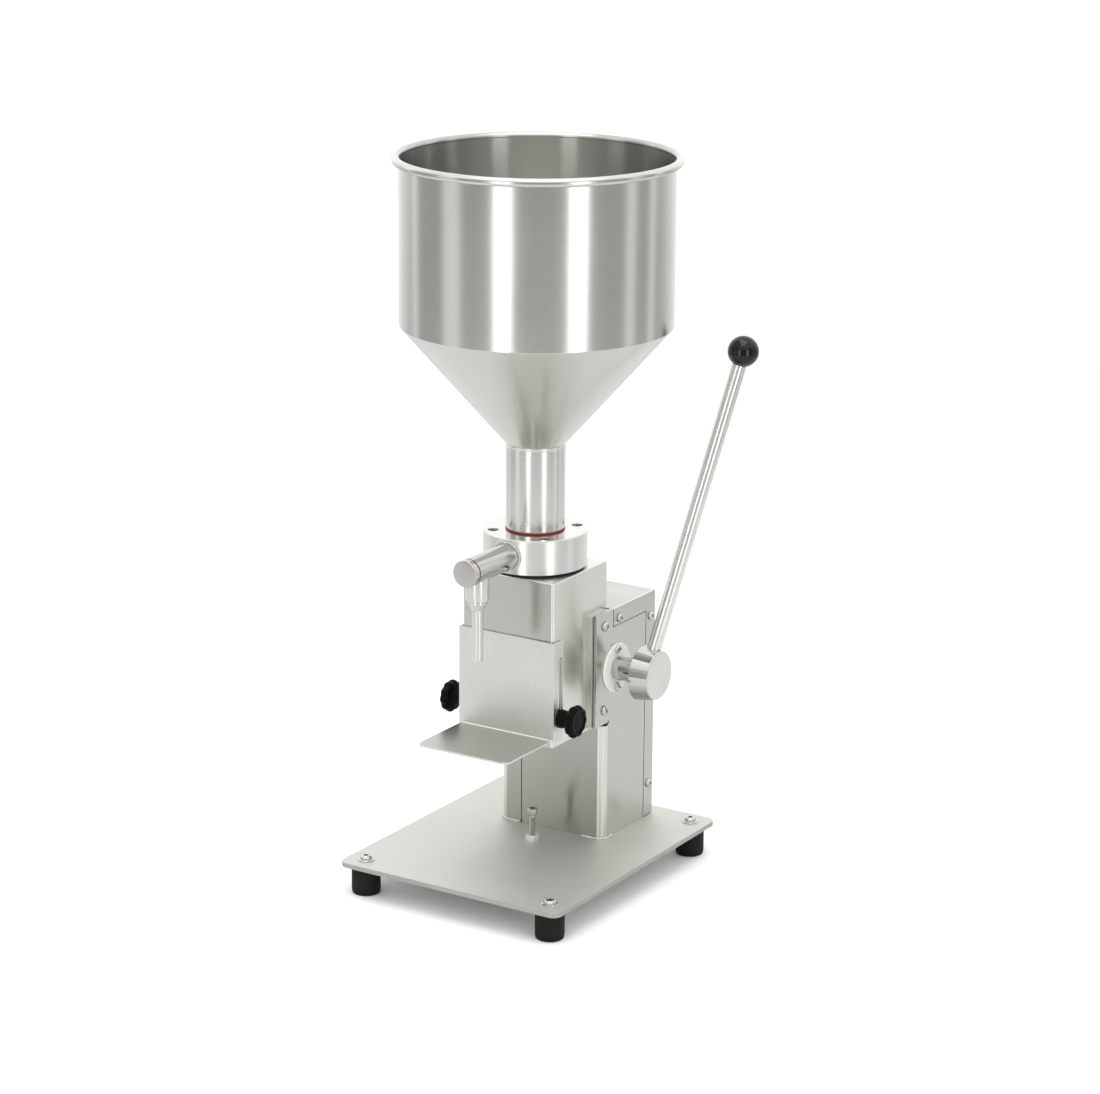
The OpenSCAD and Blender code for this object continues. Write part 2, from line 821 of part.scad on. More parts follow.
module plug_o_ring() {
    color(red) translate([0, pipe_end_y - fit - plug_ring_d / 2, pipe_z]) rotate([90, 0, 0])
        cord_ring(pipe_d / 2 - plug_ring_d / 2, plug_ring_d);
}

// Hopper

module hopper_o_ring() {
    color(red) translate([0, 0, head_top + fit + o_ring_d / 2])
        cord_ring(spigot_r + fit + o_ring_d / 2, o_ring_d);
}

module hopper_wall() {
    r = hopper_d / 2;
    color(steel) translate([0, 0, wall_z]) rotate_extrude($fn = 144) {
        translate([r - hopper_t, 0]) square([hopper_t, hopper_wall_h - rim_d / 2]);
        translate([r - hopper_t + rim_d / 2, hopper_wall_h - rim_d / 2]) circle(d = rim_d, $fn = 40);
    }
}

module hopper_cone() {
    r = hopper_d / 2;
    s = spout_d / 2;
    slant = sqrt(pow(r - s, 2) + pow(hopper_cone_h, 2));
    across = hopper_t * slant / hopper_cone_h;
    color(steel) translate([0, 0, cone_z]) rotate_extrude($fn = 144)
        polygon([[s, 0], [r, hopper_cone_h], [r - across, hopper_cone_h], [s - across, 0]]);
}

module hopper_spout() {
    color(steel) translate([0, 0, spout_z]) difference() {
        cylinder(h = spout_l, d = spout_d);
        translate([0, 0, -1]) cylinder(h = spout_l + 2, d = spout_d - 2 * spout_t);
    }
}

// Cylinder and piston

module pump_cylinder() {
    color(steel) translate([0, 0, cylinder_z]) difference() {
        cylinder(h = head_z - cylinder_z, r = cylinder_r);
        translate([0, 0, -1]) cylinder(h = head_z - cylinder_z + 2, d = bore_d);
    }
}

// Heights of the piston's two seals above its underside
function seal_zs() = [piston_h * 0.3, piston_h * 0.75];

module piston() {
    color(white) translate([0, 0, piston_z]) difference() {
        cylinder(h = piston_h, d = bore_d - 2 * slide);
        for (z = seal_zs()) translate([0, 0, z]) rotate_extrude()
            translate([bore_d / 2 - run - seal_d - fit / 2, -seal_d / 2 - fit])
                square([2 * seal_d, seal_d + 2 * fit]);
        translate([0, 0, -1]) cylinder(h = rod_neck_l + 1 + fit, d = rod_neck_d + 2 * fit);
    }
}

module piston_seals() {
    color(black) for (z = seal_zs()) translate([0, 0, piston_z + z])
        cord_ring(bore_d / 2 - run - seal_d / 2, seal_d);
}

// Outline of the rack in depth and height, with a space on the gear's axis
function rack_tooth(z) = let (
    foot = tooth_t / 2 + (rack_y - rack_root_y) * tan(pressure),
    tip = tooth_t / 2 - (rack_tip_y - rack_y) * tan(pressure)
) [[rack_root_y, z - foot], [rack_tip_y, z - tip], [rack_tip_y, z + tip], [rack_root_y, z + foot]];

function rack_outline() = let (
    first = ceil((rack_low - shaft_z) / tooth_pitch),
    last = floor((rack_high - shaft_z) / tooth_pitch) - 1
) concat(
    [[-rod_front, piston_z], [-rod_front, rod_end_z], [rack_root_y, rod_end_z]],
    [for (i = [first:last], p = rack_tooth(shaft_z + (i + 0.5) * tooth_pitch)) p],
    [[rack_root_y, piston_z]]
);

module rack_rod() {
    color(steel_dark) {
        translate([rod_w / 2, 0, 0]) rotate([0, -90, 0]) linear_extrude(rod_w)
            polygon([for (p = rack_outline()) [p[1], p[0]]]);
        translate([0, 0, piston_z]) cylinder(h = rod_neck_l, d = rod_neck_d);
    }
}

// Drive

function involute(a) = tan(a) * 180 / PI - a;
function half_tooth(r) = tooth_t / pitch_r * 90 / PI + involute(pressure) - involute(acos(base_r / r));
function polar(r, a) = [r * cos(a), r * sin(a)];
function flank(dir) = let (start = max(base_r, root_r) + 0.001) concat(
    [polar(root_r, dir * half_tooth(start))],
    [for (i = [0:flank_steps]) let (r = start + (tip_r - start) * i / flank_steps)
        polar(r, dir * half_tooth(r))]
);
function reversed(list) = [for (i = [len(list) - 1:-1:0]) list[i]];
function turned(p, a) = [p[0] * cos(a) - p[1] * sin(a), p[0] * sin(a) + p[1] * cos(a)];
function gear_outline() = [
    for (i = [0:gear_teeth - 1], p = concat(flank(-1), reversed(flank(1))))
        turned(p, i * 360 / gear_teeth)
];

module keyway(x0, x1) {
    block([x0, -key_w / 2 - fit, 0], [x1, key_w / 2 + fit, shaft_d / 2 + key_w / 2 + fit]);
}

module drive_gear() {
    boss_d = shaft_d + 2 * gear_boss_t;
    boss_l = gear_w + 2 * gear_boss_l;
    hole_r = (root_r + boss_d / 2) / 2;
    hole_d = (root_r - boss_d / 2) * 0.62;
    color(steel_dark) at_shaft() difference() {
        union() {
            translate([-gear_w / 2, 0, 0]) rotate([90, 0, 90]) linear_extrude(gear_w) polygon(gear_outline());
            bar_x(-boss_l / 2, boss_l / 2, boss_d);
        }
        bar_x(-boss_l, boss_l, shaft_d + 2 * run);
        for (a = [30:60:330]) rotate([a, 0, 0]) translate([0, 0, hole_r]) bar_x(-gear_w, gear_w, hole_d);
        keyway(-boss_l, boss_l);
    }
}

module gear_key() {
    color(steel_dark) at_shaft() block([-gear_w / 2, -key_w / 2, shaft_d / 2 - key_w / 2],
        [gear_w / 2, key_w / 2, shaft_d / 2 + key_w / 2]);
}

module lever_shaft() {
    color(steel) at_shaft() difference() {
        bar_x(shaft_left, shaft_right, shaft_d);
        translate([-gear_w / 2 - fit, -key_w / 2 - fit, shaft_d / 2 - key_w / 2 - fit])
            cube([gear_w + 2 * fit, key_w + 2 * fit, key_w]);
        difference() {
            bar_x(ring_x - fit, ring_x + ring_t + fit, shaft_d + 2);
            bar_x(ring_x - ring_t, ring_x + 2 * ring_t, ring_groove_d);
        }
    }
}

module shaft_ring() {
    color(black) at_shaft() difference() {
        bar_x(ring_x, ring_x + ring_t, shaft_d + 8);
        bar_x(ring_x - 1, ring_x + ring_t + 1, ring_groove_d + 2 * run);
        block([ring_x - 1, -shaft_d * 0.4, -shaft_d], [ring_x + ring_t + 1, shaft_d * 0.4, 0]);
    }
}

module bushing() {
    inner = col_w / 2 - side_t - 4;
    color(white) at_shaft() difference() {
        union() {
            bar_x(col_w / 2, bushing_face - bushing_edge, bushing_flange_d);
            translate([bushing_face - bushing_edge, 0, 0]) rotate([0, 90, 0])
                cylinder(h = bushing_edge, d1 = bushing_flange_d, d2 = bushing_flange_d - 2 * bushing_edge);
            bar_x(inner, col_w / 2 + 1, bushing_d);
        }
        bar_x(inner - 1, bushing_face + 1, shaft_d + 2 * run);
        for (s = [-1, 1]) translate([0, 0, s * bushing_pcd / 2]) bar_x(inner, bushing_face + 1, m5 + 2 * fit);
    }
}

module bushing_left() {
    mirror([1, 0, 0]) bushing();
}

module bushing_right() {
    bushing();
}

module bushing_screws() {
    color(steel) both_sides() for (s = [-1, 1])
        on_right_side(bushing_face, shaft_back, shaft_z + s * bushing_pcd / 2)
            button_screw(m5_head_d, m5_head_h, m5, bushing_flange_t + side_t + 4);
}

// Lever

// Children with +Z along the lever, starting on the shaft's axis
module along_lever() {
    at_shaft() rotate([-lever_back, 0, 0]) translate([lever_x, 0, 0]) rotate([0, lever_out, 0]) children();
}

module lever_hub() {
    edge = 0.8;
    color(steel) difference() {
        at_shaft() {
            bar_x(hub_x, cone_x + 1, neck_d);
            translate([cone_x, 0, 0]) rotate([0, 90, 0]) {
                cylinder(h = cone_l - edge, d1 = cone_d, d2 = cone_end_d + 2 * edge * tan(lever_out));
                translate([0, 0, cone_l - edge])
                    cylinder(h = edge, d1 = cone_end_d, d2 = cone_end_d - 2 * edge);
            }
        }
        at_shaft() bar_x(hub_x - 1, shaft_right + 0.5, shaft_d + 2 * run);
        along_lever() translate([0, 0, lever_seat]) cylinder(h = cone_d, d = lever_d + 2 * fit);
    }
}

module lever_rod() {
    seat = lever_seat + fit;
    shoulder = lever_l - ball_flat - fit;
    color(steel) along_lever() {
        translate([0, 0, seat]) cylinder(h = shoulder - seat, d = lever_d);
        translate([0, 0, shoulder]) cylinder(h = ball_flat + 4, d = ball_hole_d);
    }
}

module ball_knob() {
    color(black) along_lever() translate([0, 0, lever_l]) difference() {
        sphere(d = ball_d);
        translate([0, 0, -ball_d]) cylinder(h = ball_d - ball_flat, d = ball_d);
        translate([0, 0, -ball_d]) cylinder(h = ball_d + 5, d = ball_hole_d + 2 * fit);
    }
}

// Shelf

// Outline of the back plate with its two side flanges, seen from above
module shelf_profile() {
    x = flange_x + shelf_t;
    depth = shelf_flange_d;
    translate([-x, plate_face_y]) square([2 * x, shelf_t]);
    for (s = [-1, 1]) translate([s * (flange_x + shelf_t / 2), plate_face_y + depth / 2])
        square([shelf_t, depth], center = true);
}

// The right flange's slot, which leaves the stud a little play at both ends of the travel
module shelf_slot(w) {
    low = knob_z - slide;
    high = knob_z + shelf_travel + slide;
    for (z = [low, high]) on_right_side(0, slot_y, z) cylinder(h = box_w, d = w);
    block([0, slot_y - w / 2, low], [box_w, slot_y + w / 2, high]);
}

module shelf_bracket() {
    corner_r = 8;
    shelf_y = plate_face_y - shelf_d;
    color(steel) {
        difference() {
            translate([0, 0, shelf_z - shelf_t]) linear_extrude(shelf_plate_h + shelf_t) shelf_profile();
            both_sides() shelf_slot(stud_d + 2 * slide);
        }
        translate([0, 0, shelf_z - shelf_t]) linear_extrude(shelf_t) {
            translate([-shelf_w / 2, shelf_y + corner_r]) square([shelf_w, shelf_d + shelf_t / 2 - corner_r]);
            translate([-shelf_w / 2 + corner_r, shelf_y]) square([shelf_w - 2 * corner_r, 2 * corner_r]);
            for (s = [-1, 1]) translate([s * (shelf_w / 2 - corner_r), shelf_y + corner_r])
                circle(r = corner_r);
        }
    }
}

// A lobed clamp knob that points along +Z, from the face that presses on the sheet
module clamp_knob() {
    lobe_d = 6;
    rim = 2;
    head_r = knob_d / 2;
    color(black) difference() {
        union() {
            cylinder(h = knob_neck_l + 1, d1 = knob_neck_d, d2 = knob_neck_d - 1.5);
            translate([0, 0, knob_neck_l]) intersection() {
                linear_extrude(knob_head_l) {
                    circle(r = head_r - lobe_d / 3);
                    for (i = [1:knob_lobes]) rotate(i * 360 / knob_lobes) translate([head_r - lobe_d / 2, 0])
                        circle(d = lobe_d, $fn = 24);
                }
                union() {
                    cylinder(h = rim, r1 = head_r - rim, r2 = head_r);
                    translate([0, 0, rim]) cylinder(h = knob_head_l - 2 * rim, r = head_r);
                    translate([0, 0, knob_head_l - rim]) cylinder(h = rim, r1 = head_r, r2 = head_r - rim);
                }
            }
        }
        translate([0, 0, knob_neck_l + knob_head_l - 0.8]) cylinder(h = 2, r = head_r * 0.62);
        translate([0, 0, -1]) cylinder(h = knob_neck_l + 2, d = stud_d + 2 * fit);
    }
}

module clamp_stud() {
    inside = 14;
    color(steel) translate([0, 0, -inside]) cylinder(h = inside + knob_neck_l, d = stud_d);
}

module knob_left() {
    mirror([1, 0, 0]) on_right_side(knob_x, slot_y, knob_z) clamp_knob();
}

module knob_right() {
    on_right_side(knob_x, slot_y, knob_z) clamp_knob();
}

module stud_left() {
    mirror([1, 0, 0]) on_right_side(knob_x, slot_y, knob_z) clamp_stud();
}

module stud_right() {
    on_right_side(knob_x, slot_y, knob_z) clamp_stud();
}

// Stop screw

module stop_screw() {
    color(steel) translate([0, stop_y, stop_top - m6_head_h])
        cap_screw(m6_head_d, m6_head_h, m6, stop_top - m6_head_h - stop_end);
}

module stop_nut() {
    across_flats = 10;
    color(steel) translate([0, stop_y, plate_z]) difference() {
        cylinder(h = stop_nut_h, d = across_flats / cos(30), $fn = 6);
        translate([0, 0, -1]) cylinder(h = stop_nut_h + 2, d = m6 + 2 * run);
    }
}

// Valves

// Guide of the inlet valve's stem: a ring and three arms
module valve_spider() {
    ring_t = 2.5;
    arm_w = 3;
    color(steel) translate([0, 0, spider_z]) difference() {
        union() {
            difference() {
                cylinder(h = spider_h, r = spider_r);
                translate([0, 0, -1]) cylinder(h = spider_h + 2, r = spider_r - ring_t);
            }
            cylinder(h = spider_h, d = stem_d + 5);
            for (a = [90:120:330]) rotate(a) translate([0, -arm_w / 2, 0])
                cube([spider_r - 1, arm_w, spider_h]);
        }
        translate([0, 0, -1]) cylinder(h = spider_h + 2, d = stem_d + 2 * run);
    }
}

module inlet_valve() {
    cone_h = 4;
    seat_z = valve_seat_z - slide;
    stem_top = spider_z + spider_h + inlet_spring_h + inlet_nut_h + fit;
    head_low = seat_z - (valve_r - inlet_d / 2) - valve_head_h;
    color(steel) {
        translate([0, 0, head_low]) cylinder(h = valve_head_h, r = valve_r);
        translate([0, 0, head_low + valve_head_h]) cylinder(h = cone_h, r1 = valve_r, r2 = valve_r - cone_h);
        translate([0, 0, head_low]) cylinder(h = stem_top - head_low, d = stem_d);
    }
}

module inlet_nut() {
    color(steel) translate([0, 0, spider_z + spider_h + inlet_spring_h + fit]) difference() {
        cylinder(h = inlet_nut_h, d = 12, $fn = 6);
        translate([0, 0, -1]) cylinder(h = inlet_nut_h + 2, d = stem_d + 2 * run);
    }
}

module outlet_ball() {
    color(steel) translate([0, ball_y, pipe_z]) sphere(r = ball_valve_r);
}

// Points of a ring of wire round the spring's path at turn t
function spring_ring(r, rise, t, sides) = let (
    a = 360 * t,
    out = [cos(a), sin(a), 0],
    run_dir = [-sin(a) * 2 * PI * r, cos(a) * 2 * PI * r, rise] / norm([2 * PI * r, rise]),
    up = cross(out, run_dir)
) [for (i = [0:sides - 1]) let (b = 360 * i / sides)
    r * out + [0, 0, rise * t] + spring_wire / 2 * (cos(b) * out + sin(b) * up)];

// A coil spring that stands on z = 0
module coil_spring(r, h) {
    rise = (h - spring_wire) / spring_turns;
    sides = 6;
    steps = spring_turns * 8;
    points = [for (k = [0:steps], p = spring_ring(r, rise, k * spring_turns / steps, sides)) p];
    walls = [for (k = [0:steps - 1], i = [0:sides - 1]) let (
        a = k * sides + i, b = k * sides + (i + 1) % sides
    ) each [[a, b, b + sides], [a, b + sides, a + sides]]];
    low = [for (i = [1:sides - 2]) [0, i + 1, i]];
    high = [for (i = [1:sides - 2]) [steps * sides, steps * sides + i, steps * sides + i + 1]];
    translate([0, 0, spring_wire / 2]) polyhedron(points, concat(walls, low, high));
}

module inlet_spring() {
    color(steel_dark) translate([0, 0, spider_z + spider_h + fit])
        coil_spring(stem_d / 2 + spring_wire + 0.3, inlet_spring_h - fit);
}

module outlet_spring() {
    color(steel_dark) translate([0, plug_in_y + fit, pipe_z]) rotate([-90, 0, 0])
        coil_spring(ball_valve_r * 0.6, outlet_spring_l);
}

base_plate();
foot(-1, -1);  // foot_front_left
foot(1, -1);  // foot_front_right
foot(-1, 1);  // foot_rear_left
foot(1, 1);  // foot_rear_right
foot_screws();
column_side_left();
column_side_right();
column_front_panel();
weld_beads();
rear_cover();
cover_cleats();
cover_screws();
front_box();
box_doubler_left();
box_doubler_right();
ear_bolts();
rack_guide();
head_gasket();
head_disc();
head_spigot();
head_screws();
outlet_pipe();
nozzle_socket();
nozzle_tube();
end_plug();
plug_o_ring();
hopper_o_ring();
hopper_wall();
hopper_cone();
hopper_spout();
pump_cylinder();
bushing_left();
bushing_right();
bushing_screws();
stop_nut();
valve_spider();
inlet_spring();
outlet_spring();
drive_gear();
gear_key();
lever_shaft();
shaft_ring();
lever_hub();
lever_rod();
ball_knob();
piston();
piston_seals();
rack_rod();
shelf_bracket();
knob_left();
knob_right();
stud_left();
stud_right();
stop_screw();
inlet_valve();
inlet_nut();
outlet_ball();
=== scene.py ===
# %% [markdown]
# # A manual honey filling machine, dressed in Blender
#
# The machine stands on a bench. Honey goes into the steel hopper, the lever turns a gear, and the gear
# moves a toothed rod with a piston on its end, so that each stroke pushes one dose out of the nozzle. The
# solids come from CAD. This lesson gives them their looks: rounded edges, brushed and turned stainless
# steel, moulded plastic, and small things that repeat, such as screws and the ripples of a weld.
#
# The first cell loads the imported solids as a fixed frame, in metres, with the origin on the bench under the
# hopper, the front at -Y and the lever at +X.

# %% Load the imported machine
from math import asin, atan2, copysign, cos, degrees, pi, radians, sin, sqrt, tan

import bmesh
import bpy
from mathutils import Matrix, Vector


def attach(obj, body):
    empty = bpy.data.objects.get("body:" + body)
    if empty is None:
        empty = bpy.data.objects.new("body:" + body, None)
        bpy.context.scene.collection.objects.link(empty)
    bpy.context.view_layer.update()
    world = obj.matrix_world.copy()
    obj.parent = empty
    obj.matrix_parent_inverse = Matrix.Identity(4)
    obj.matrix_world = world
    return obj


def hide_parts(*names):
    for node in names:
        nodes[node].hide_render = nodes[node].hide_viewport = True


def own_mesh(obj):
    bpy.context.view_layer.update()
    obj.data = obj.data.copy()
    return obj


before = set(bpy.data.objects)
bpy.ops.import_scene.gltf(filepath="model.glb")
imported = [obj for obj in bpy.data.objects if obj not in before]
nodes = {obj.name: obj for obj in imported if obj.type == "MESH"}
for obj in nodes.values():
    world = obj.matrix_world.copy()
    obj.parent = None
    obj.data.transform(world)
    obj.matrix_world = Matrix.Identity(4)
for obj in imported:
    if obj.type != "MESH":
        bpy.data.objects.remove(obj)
scene = bpy.context.scene
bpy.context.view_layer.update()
MM = 0.001

# %% [markdown]
# ## Helpers for node trees
#
# Materials, the world and Geometry Nodes are all trees of nodes. One function adds a node, sets its
# properties and fills its inputs with values or links. Colours are written as sRGB hex values, as a colour
# picker reads them, and a second function turns them into the linear values that shaders work with. A third
# starts an empty material and gives the object's own coordinates, in which every pattern is drawn.

# %% Node and colour helpers
def add(tree, kind, inputs=None, **settings):
    """Adds a node; a kind without Node in its name is a shader's. An input is a value, a socket to link, or
    a node whose first output is linked."""
    node = tree.nodes.new(kind if "Node" in kind else "ShaderNode" + kind)
    for name, value in settings.items():
        setattr(node, name, value)
    for name, value in (inputs or {}).items():
        if isinstance(value, bpy.types.Node):
            value = value.outputs[0]
        if isinstance(value, bpy.types.NodeSocket):
            tree.links.new(value, node.inputs[name])
        else:
            node.inputs[name].default_value = value
    return node


def linear(hex_colour):
    """An sRGB hex value as linear RGBA."""
    parts = [int(hex_colour[i:i + 2], 16) / 255 for i in (1, 3, 5)]
    return [c / 12.92 if c <= 0.04045 else ((c + 0.055) / 1.055) ** 2.4 for c in parts] + [1.0]


def blank_material(name):
    """A material without nodes, its tree, and the object's own coordinates."""
    material = bpy.data.materials.new(name)
    material.use_nodes = True
    tree = material.node_tree
    tree.nodes.clear()
    return material, tree, add(tree, "TexCoord").outputs["Object"]


print("mid grey in linear light:", round(linear("#808080")[0], 3))

# %% [markdown]
# ## The camera
#
# A long lens looks down at the machine from the front right. Its place, direction and focal length were
# worked out from the machine's own edges: parallel edges fix the direction, and how fast they converge
# fixes the distance. A small roll is left, as on most tripods.

# %% Camera
EYE = Vector((1.7806, -2.8166, 1.3095))
HEADING = radians(32.04)
PITCH_DOWN = radians(16.03)
ROLL = radians(0.45)
PHOTO_WIDTH_PX = 1100
FOCAL_PX = 3401.4

camera = bpy.data.objects.new("camera", bpy.data.cameras.new("camera"))
camera.data.sensor_width = 36
camera.data.lens = camera.data.sensor_width * FOCAL_PX / PHOTO_WIDTH_PX
camera.matrix_world = (
    Matrix.Translation(EYE)
    @ Matrix.Rotation(HEADING, 4, "Z")
    @ Matrix.Rotation(pi / 2 - PITCH_DOWN, 4, "X")
    @ Matrix.Rotation(ROLL, 4, "Z")
)
scene.collection.objects.link(camera)
scene.camera = camera
scene.view_settings.view_transform = "Standard"
print("lens in mm:", round(camera.data.lens, 1))

# %% [markdown]
# ## The studio
#
# Polished steel has hardly a colour of its own: it shows the room. So the room is designed as a
# photographer would do it. Behind the machine everything is white. In front, where the camera stands, it is
# a mid grey, which gives the steel its darker tones.
#
# The world's brightness follows the direction alone: the further a ray points to the back or up to the
# ceiling, the whiter it is. A ray straight from the camera always sees white.

# %% World
ROOM_GREY = 0.42
BACK_WHITE = 1.25
WALL_FADE = (0.1, 1.1)
CEILING_FADE = (0.25, 0.7)

world = bpy.data.worlds.new("studio")
scene.world = world
world.use_nodes = True
room = world.node_tree
room.nodes.clear()
direction = add(room, "TexCoord").outputs["Generated"]
to_the_back = (-sin(HEADING), cos(HEADING), 0)
backness = add(room, "VectorMath", {0: direction, 1: to_the_back}, operation="DOT_PRODUCT")
height = add(room, "SeparateXYZ", {0: direction}).outputs["Z"]
whiteness = add(room, "Math", {0: height, 1: backness.outputs["Value"]}, operation="ADD")
fades = ((whiteness, WALL_FADE), (height, CEILING_FADE))
wall, ceiling = [add(room, "MapRange", {
    "Value": value, "From Min": low, "From Max": high, "To Min": ROOM_GREY, "To Max": BACK_WHITE,
}, interpolation_type="SMOOTHSTEP") for value, (low, high) in fades]
around = add(room, "Math", {0: wall, 1: ceiling}, operation="MAXIMUM")
seen = add(room, "Math", {
    0: around, 1: add(room, "LightPath").outputs["Is Camera Ray"]}, operation="MAXIMUM")
glow = add(room, "Background", {"Color": linear("#FFFFFF"), "Strength": seen})
add(room, "OutputWorld", {"Surface": glow})
print("room grey", ROOM_GREY, "back and ceiling", BACK_WHITE)

# %% [markdown]
# Two tall strips stand left and right of the camera and draw the two white bands down the hopper. Four dim
# panels further round draw the pale bands towards its edges, and a large soft light hangs above. A lamp's
# power follows from the brightness that its face should have: an area lamp of power P and area A shines
# with P / (pi A). The lamps reach below the bench, because the hopper is seen from above and mirrors what
# lies a little below the horizon.

# %% Lamps
def lamp(name, azimuth, width, brightness, height, tall, distance=2.3):
    """A soft box on a stand, azimuth in degrees from the front towards the lever's side."""
    data = bpy.data.lights.new(name, "AREA")
    data.shape = "RECTANGLE"
    data.size = width
    data.size_y = tall
    data.energy = brightness * pi * width * tall
    turn = radians(azimuth)
    box = bpy.data.objects.new(name, data)
    box.location = (distance * sin(turn), -distance * cos(turn), height)
    aim = Vector((0, 0, height)) - box.location
    box.rotation_euler = aim.to_track_quat("-Z", "Y").to_euler()
    scene.collection.objects.link(box)
    return box


STRIP, PANEL = (0.2, 2.4), (0.75, 3.4)  # the height of the middle, and how tall
for name, azimuth, width, brightness, stand in (
        ("left_strip", 4.6, 0.54, 2.7, STRIP), ("right_strip", 65.4, 0.55, 2.8, STRIP),
        ("left_panel", -41, 0.70, 0.54, PANEL), ("far_left_panel", -86, 0.34, 0.48, PANEL),
        ("far_right_panel", 114, 0.42, 0.54, PANEL), ("back_right_panel", 140, 0.36, 0.50, PANEL)):
    lamp(name, azimuth, width, brightness, *stand)
overhead = lamp("overhead", azimuth=20, width=1.7, brightness=1.85, height=2.5, tall=1.7, distance=0.35)
overhead.rotation_euler = (0, 0, 0)
print("lamps:", ", ".join(light.name for light in bpy.data.lights))

# %% [markdown]
# The floor is a plain white disc that fades out towards its edge, so that no horizon is seen. The camera
# alone sees it whiter than its paint: it melts into the background and keeps the soft shadow under the
# plate. The steel mirrors the plain paint.

# %% Floor
FLOOR_RADIUS, FADE_FROM = 1.9, 1.0
PAINT, PAINT_SEEN = 0.72, 1.02
GAP_UNDER_FEET = 0.0003

floor_paint, paint, place = blank_material("white_floor")
white = add(paint, "MapRange", {
    "Value": add(paint, "LightPath").outputs["Is Camera Ray"], "To Min": PAINT, "To Max": PAINT_SEEN})
away = add(paint, "VectorMath", {0: place}, operation="LENGTH").outputs["Value"]
fade = add(paint, "MapRange", {"Value": away, "From Min": FADE_FROM, "From Max": FLOOR_RADIUS})
grey = add(paint, "CombineColor", {channel: white for channel in range(3)})
matt = add(paint, "BsdfDiffuse", {"Color": grey})
clear = add(paint, "BsdfTransparent")
faded = add(paint, "MixShader", {0: fade, 1: matt, 2: clear})
add(paint, "OutputMaterial", {"Surface": faded})

disc = bmesh.new()
bmesh.ops.create_circle(disc, cap_ends=True, segments=96, radius=FLOOR_RADIUS)
floor_mesh = bpy.data.meshes.new("floor")
disc.to_mesh(floor_mesh)
disc.free()
floor = bpy.data.objects.new("floor", floor_mesh)
floor.location.z = -GAP_UNDER_FEET
floor.data.materials.append(floor_paint)
scene.collection.objects.link(floor)
print("floor radius", FLOOR_RADIUS)

# %% [markdown]
# ## Brushed stainless steel
#
# The sheets are austenitic stainless steel, ground with an abrasive belt. The eye sees a warm light grey
# with fine parallel scratches: along them a reflection stays sharp, across them it is drawn out. Real
# scratches are a tenth of a millimetre apart, too fine for this picture, so they are drawn 1.2 mm apart and
# faint. A noise stretched along them drives the roughness, a little of the colour and a shallow bump, and a
# second, cloudy noise makes the handling marks that every sheet has.
#
# The first function holds what all steel shares. Sheets that were ground or cut differently get a finish
# each, because a small change of roughness or tint tells the eye how metal was worked. Some tints are painted
# light: a lighter tint on the folds is a painted highlight, and darker tints on the hopper's inside, the
# column's front, the box's front and the shelf's top are painted shade.

# %% What all steel shares
def coat_with_steel(tree, place, grain, tangent, light, dark, roughness, stretch, relief,
                    marks_mm, play, depth_mm):
    """Grain and cloudy marks vary the tint, and the roughness by the share play; the grain alone makes the
    bump. stretch draws reflections out across the tangent."""
    marks = add(tree, "TexNoise", {"Vector": place, "Scale": 1 / (marks_mm * MM), "Detail": 3.0})
    both = add(tree, "Math", {0: grain, 1: marks}, operation="ADD")  # about 1 in the mean
    share = add(tree, "MapRange", {"Value": both, "From Min": 0.7, "From Max": 1.3})
    tint = add(tree, "Mix", {0: share, 6: linear(dark), 7: linear(light)}, data_type="RGBA")
    rough = add(tree, "MapRange", {
        "Value": both, "From Min": 0.6, "From Max": 1.4,
        "To Min": roughness * (1 - play), "To Max": roughness * (1 + play)})
    bump = add(tree, "Bump", {"Height": grain, "Strength": relief, "Distance": depth_mm * MM})
    shader = add(tree, "BsdfPrincipled", {
        "Base Color": tint.outputs[2], "Metallic": 1.0, "Roughness": rough,
        "Anisotropic": stretch, "Anisotropic Rotation": 0.25, "Normal": bump})
    if tangent:
        tree.links.new(tangent.outputs[0], shader.inputs["Tangent"])
    add(tree, "OutputMaterial", {"Surface": shader})


# %% Brushed steel
def brushed_steel(name, light, dark, scratch, roughness, stretch=0.0, relief=0.004):
    """Ground sheet. scratch is the size in mm of one scratch along X, Y and Z."""
    material, tree, place = blank_material(name)
    along = add(tree, "Mapping", {"Vector": place, "Scale": [1 / (size * MM) for size in scratch]})
    grain = add(tree, "TexNoise", {"Vector": along, "Scale": 1.0, "Detail": 3.0})
    tangent = add(tree, "Tangent", direction_type="RADIAL", axis="Z") if stretch else None
    coat_with_steel(tree, place, grain, tangent, light, dark, roughness, stretch, relief,
                    marks_mm=70, play=0.04, depth_mm=0.3)
    return material


# %% Finishes of the sheets
LONG_SCRATCH, FINE_SCRATCH = 140, 1.2
# the size of a scratch along X, Y and Z, and the relief of flat sheets
LEVEL = (LONG_SCRATCH, LONG_SCRATCH, FINE_SCRATCH)
CROSSWAYS = (LONG_SCRATCH, FINE_SCRATCH, LONG_SCRATCH)
CUT_GRAIN, SHELF_GRAIN = (3.0, 3.0, 3.0), (2.5, 2.5, 2.5)
FAINT = 0.001

# the hopper's outside: white bands with soft edges
spun_steel = brushed_steel("spun_stainless_hopper", "#D4D4CF", "#CECEC9", LEVEL, 0.24, 0.55)
# its inside: painted shade, a darker tint than the outside for the shade in the hopper, and the bands run on
# from top to bottom
shaded_inside_steel = brushed_steel("stainless_inside_painted_shade", "#C3C3BE", "#BFBFBA", LEVEL, 0.25, 1.0, 0.0008)
# the front box: pale, its mirror images drawn out upwards
sheet_steel = brushed_steel("brushed_stainless_box", "#DCDCD7", "#D9D9D4", LEVEL, 0.26, 0.85, FAINT)
# the column's sides, the cover and the box's front: greyer, and a little sharper; on the box's front the
# greyer tint is painted shade, darker than the box's own sides
column_steel = brushed_steel("brushed_stainless_column", "#C4C4BF", "#C1C1BC", LEVEL, 0.22, 0.9, FAINT)
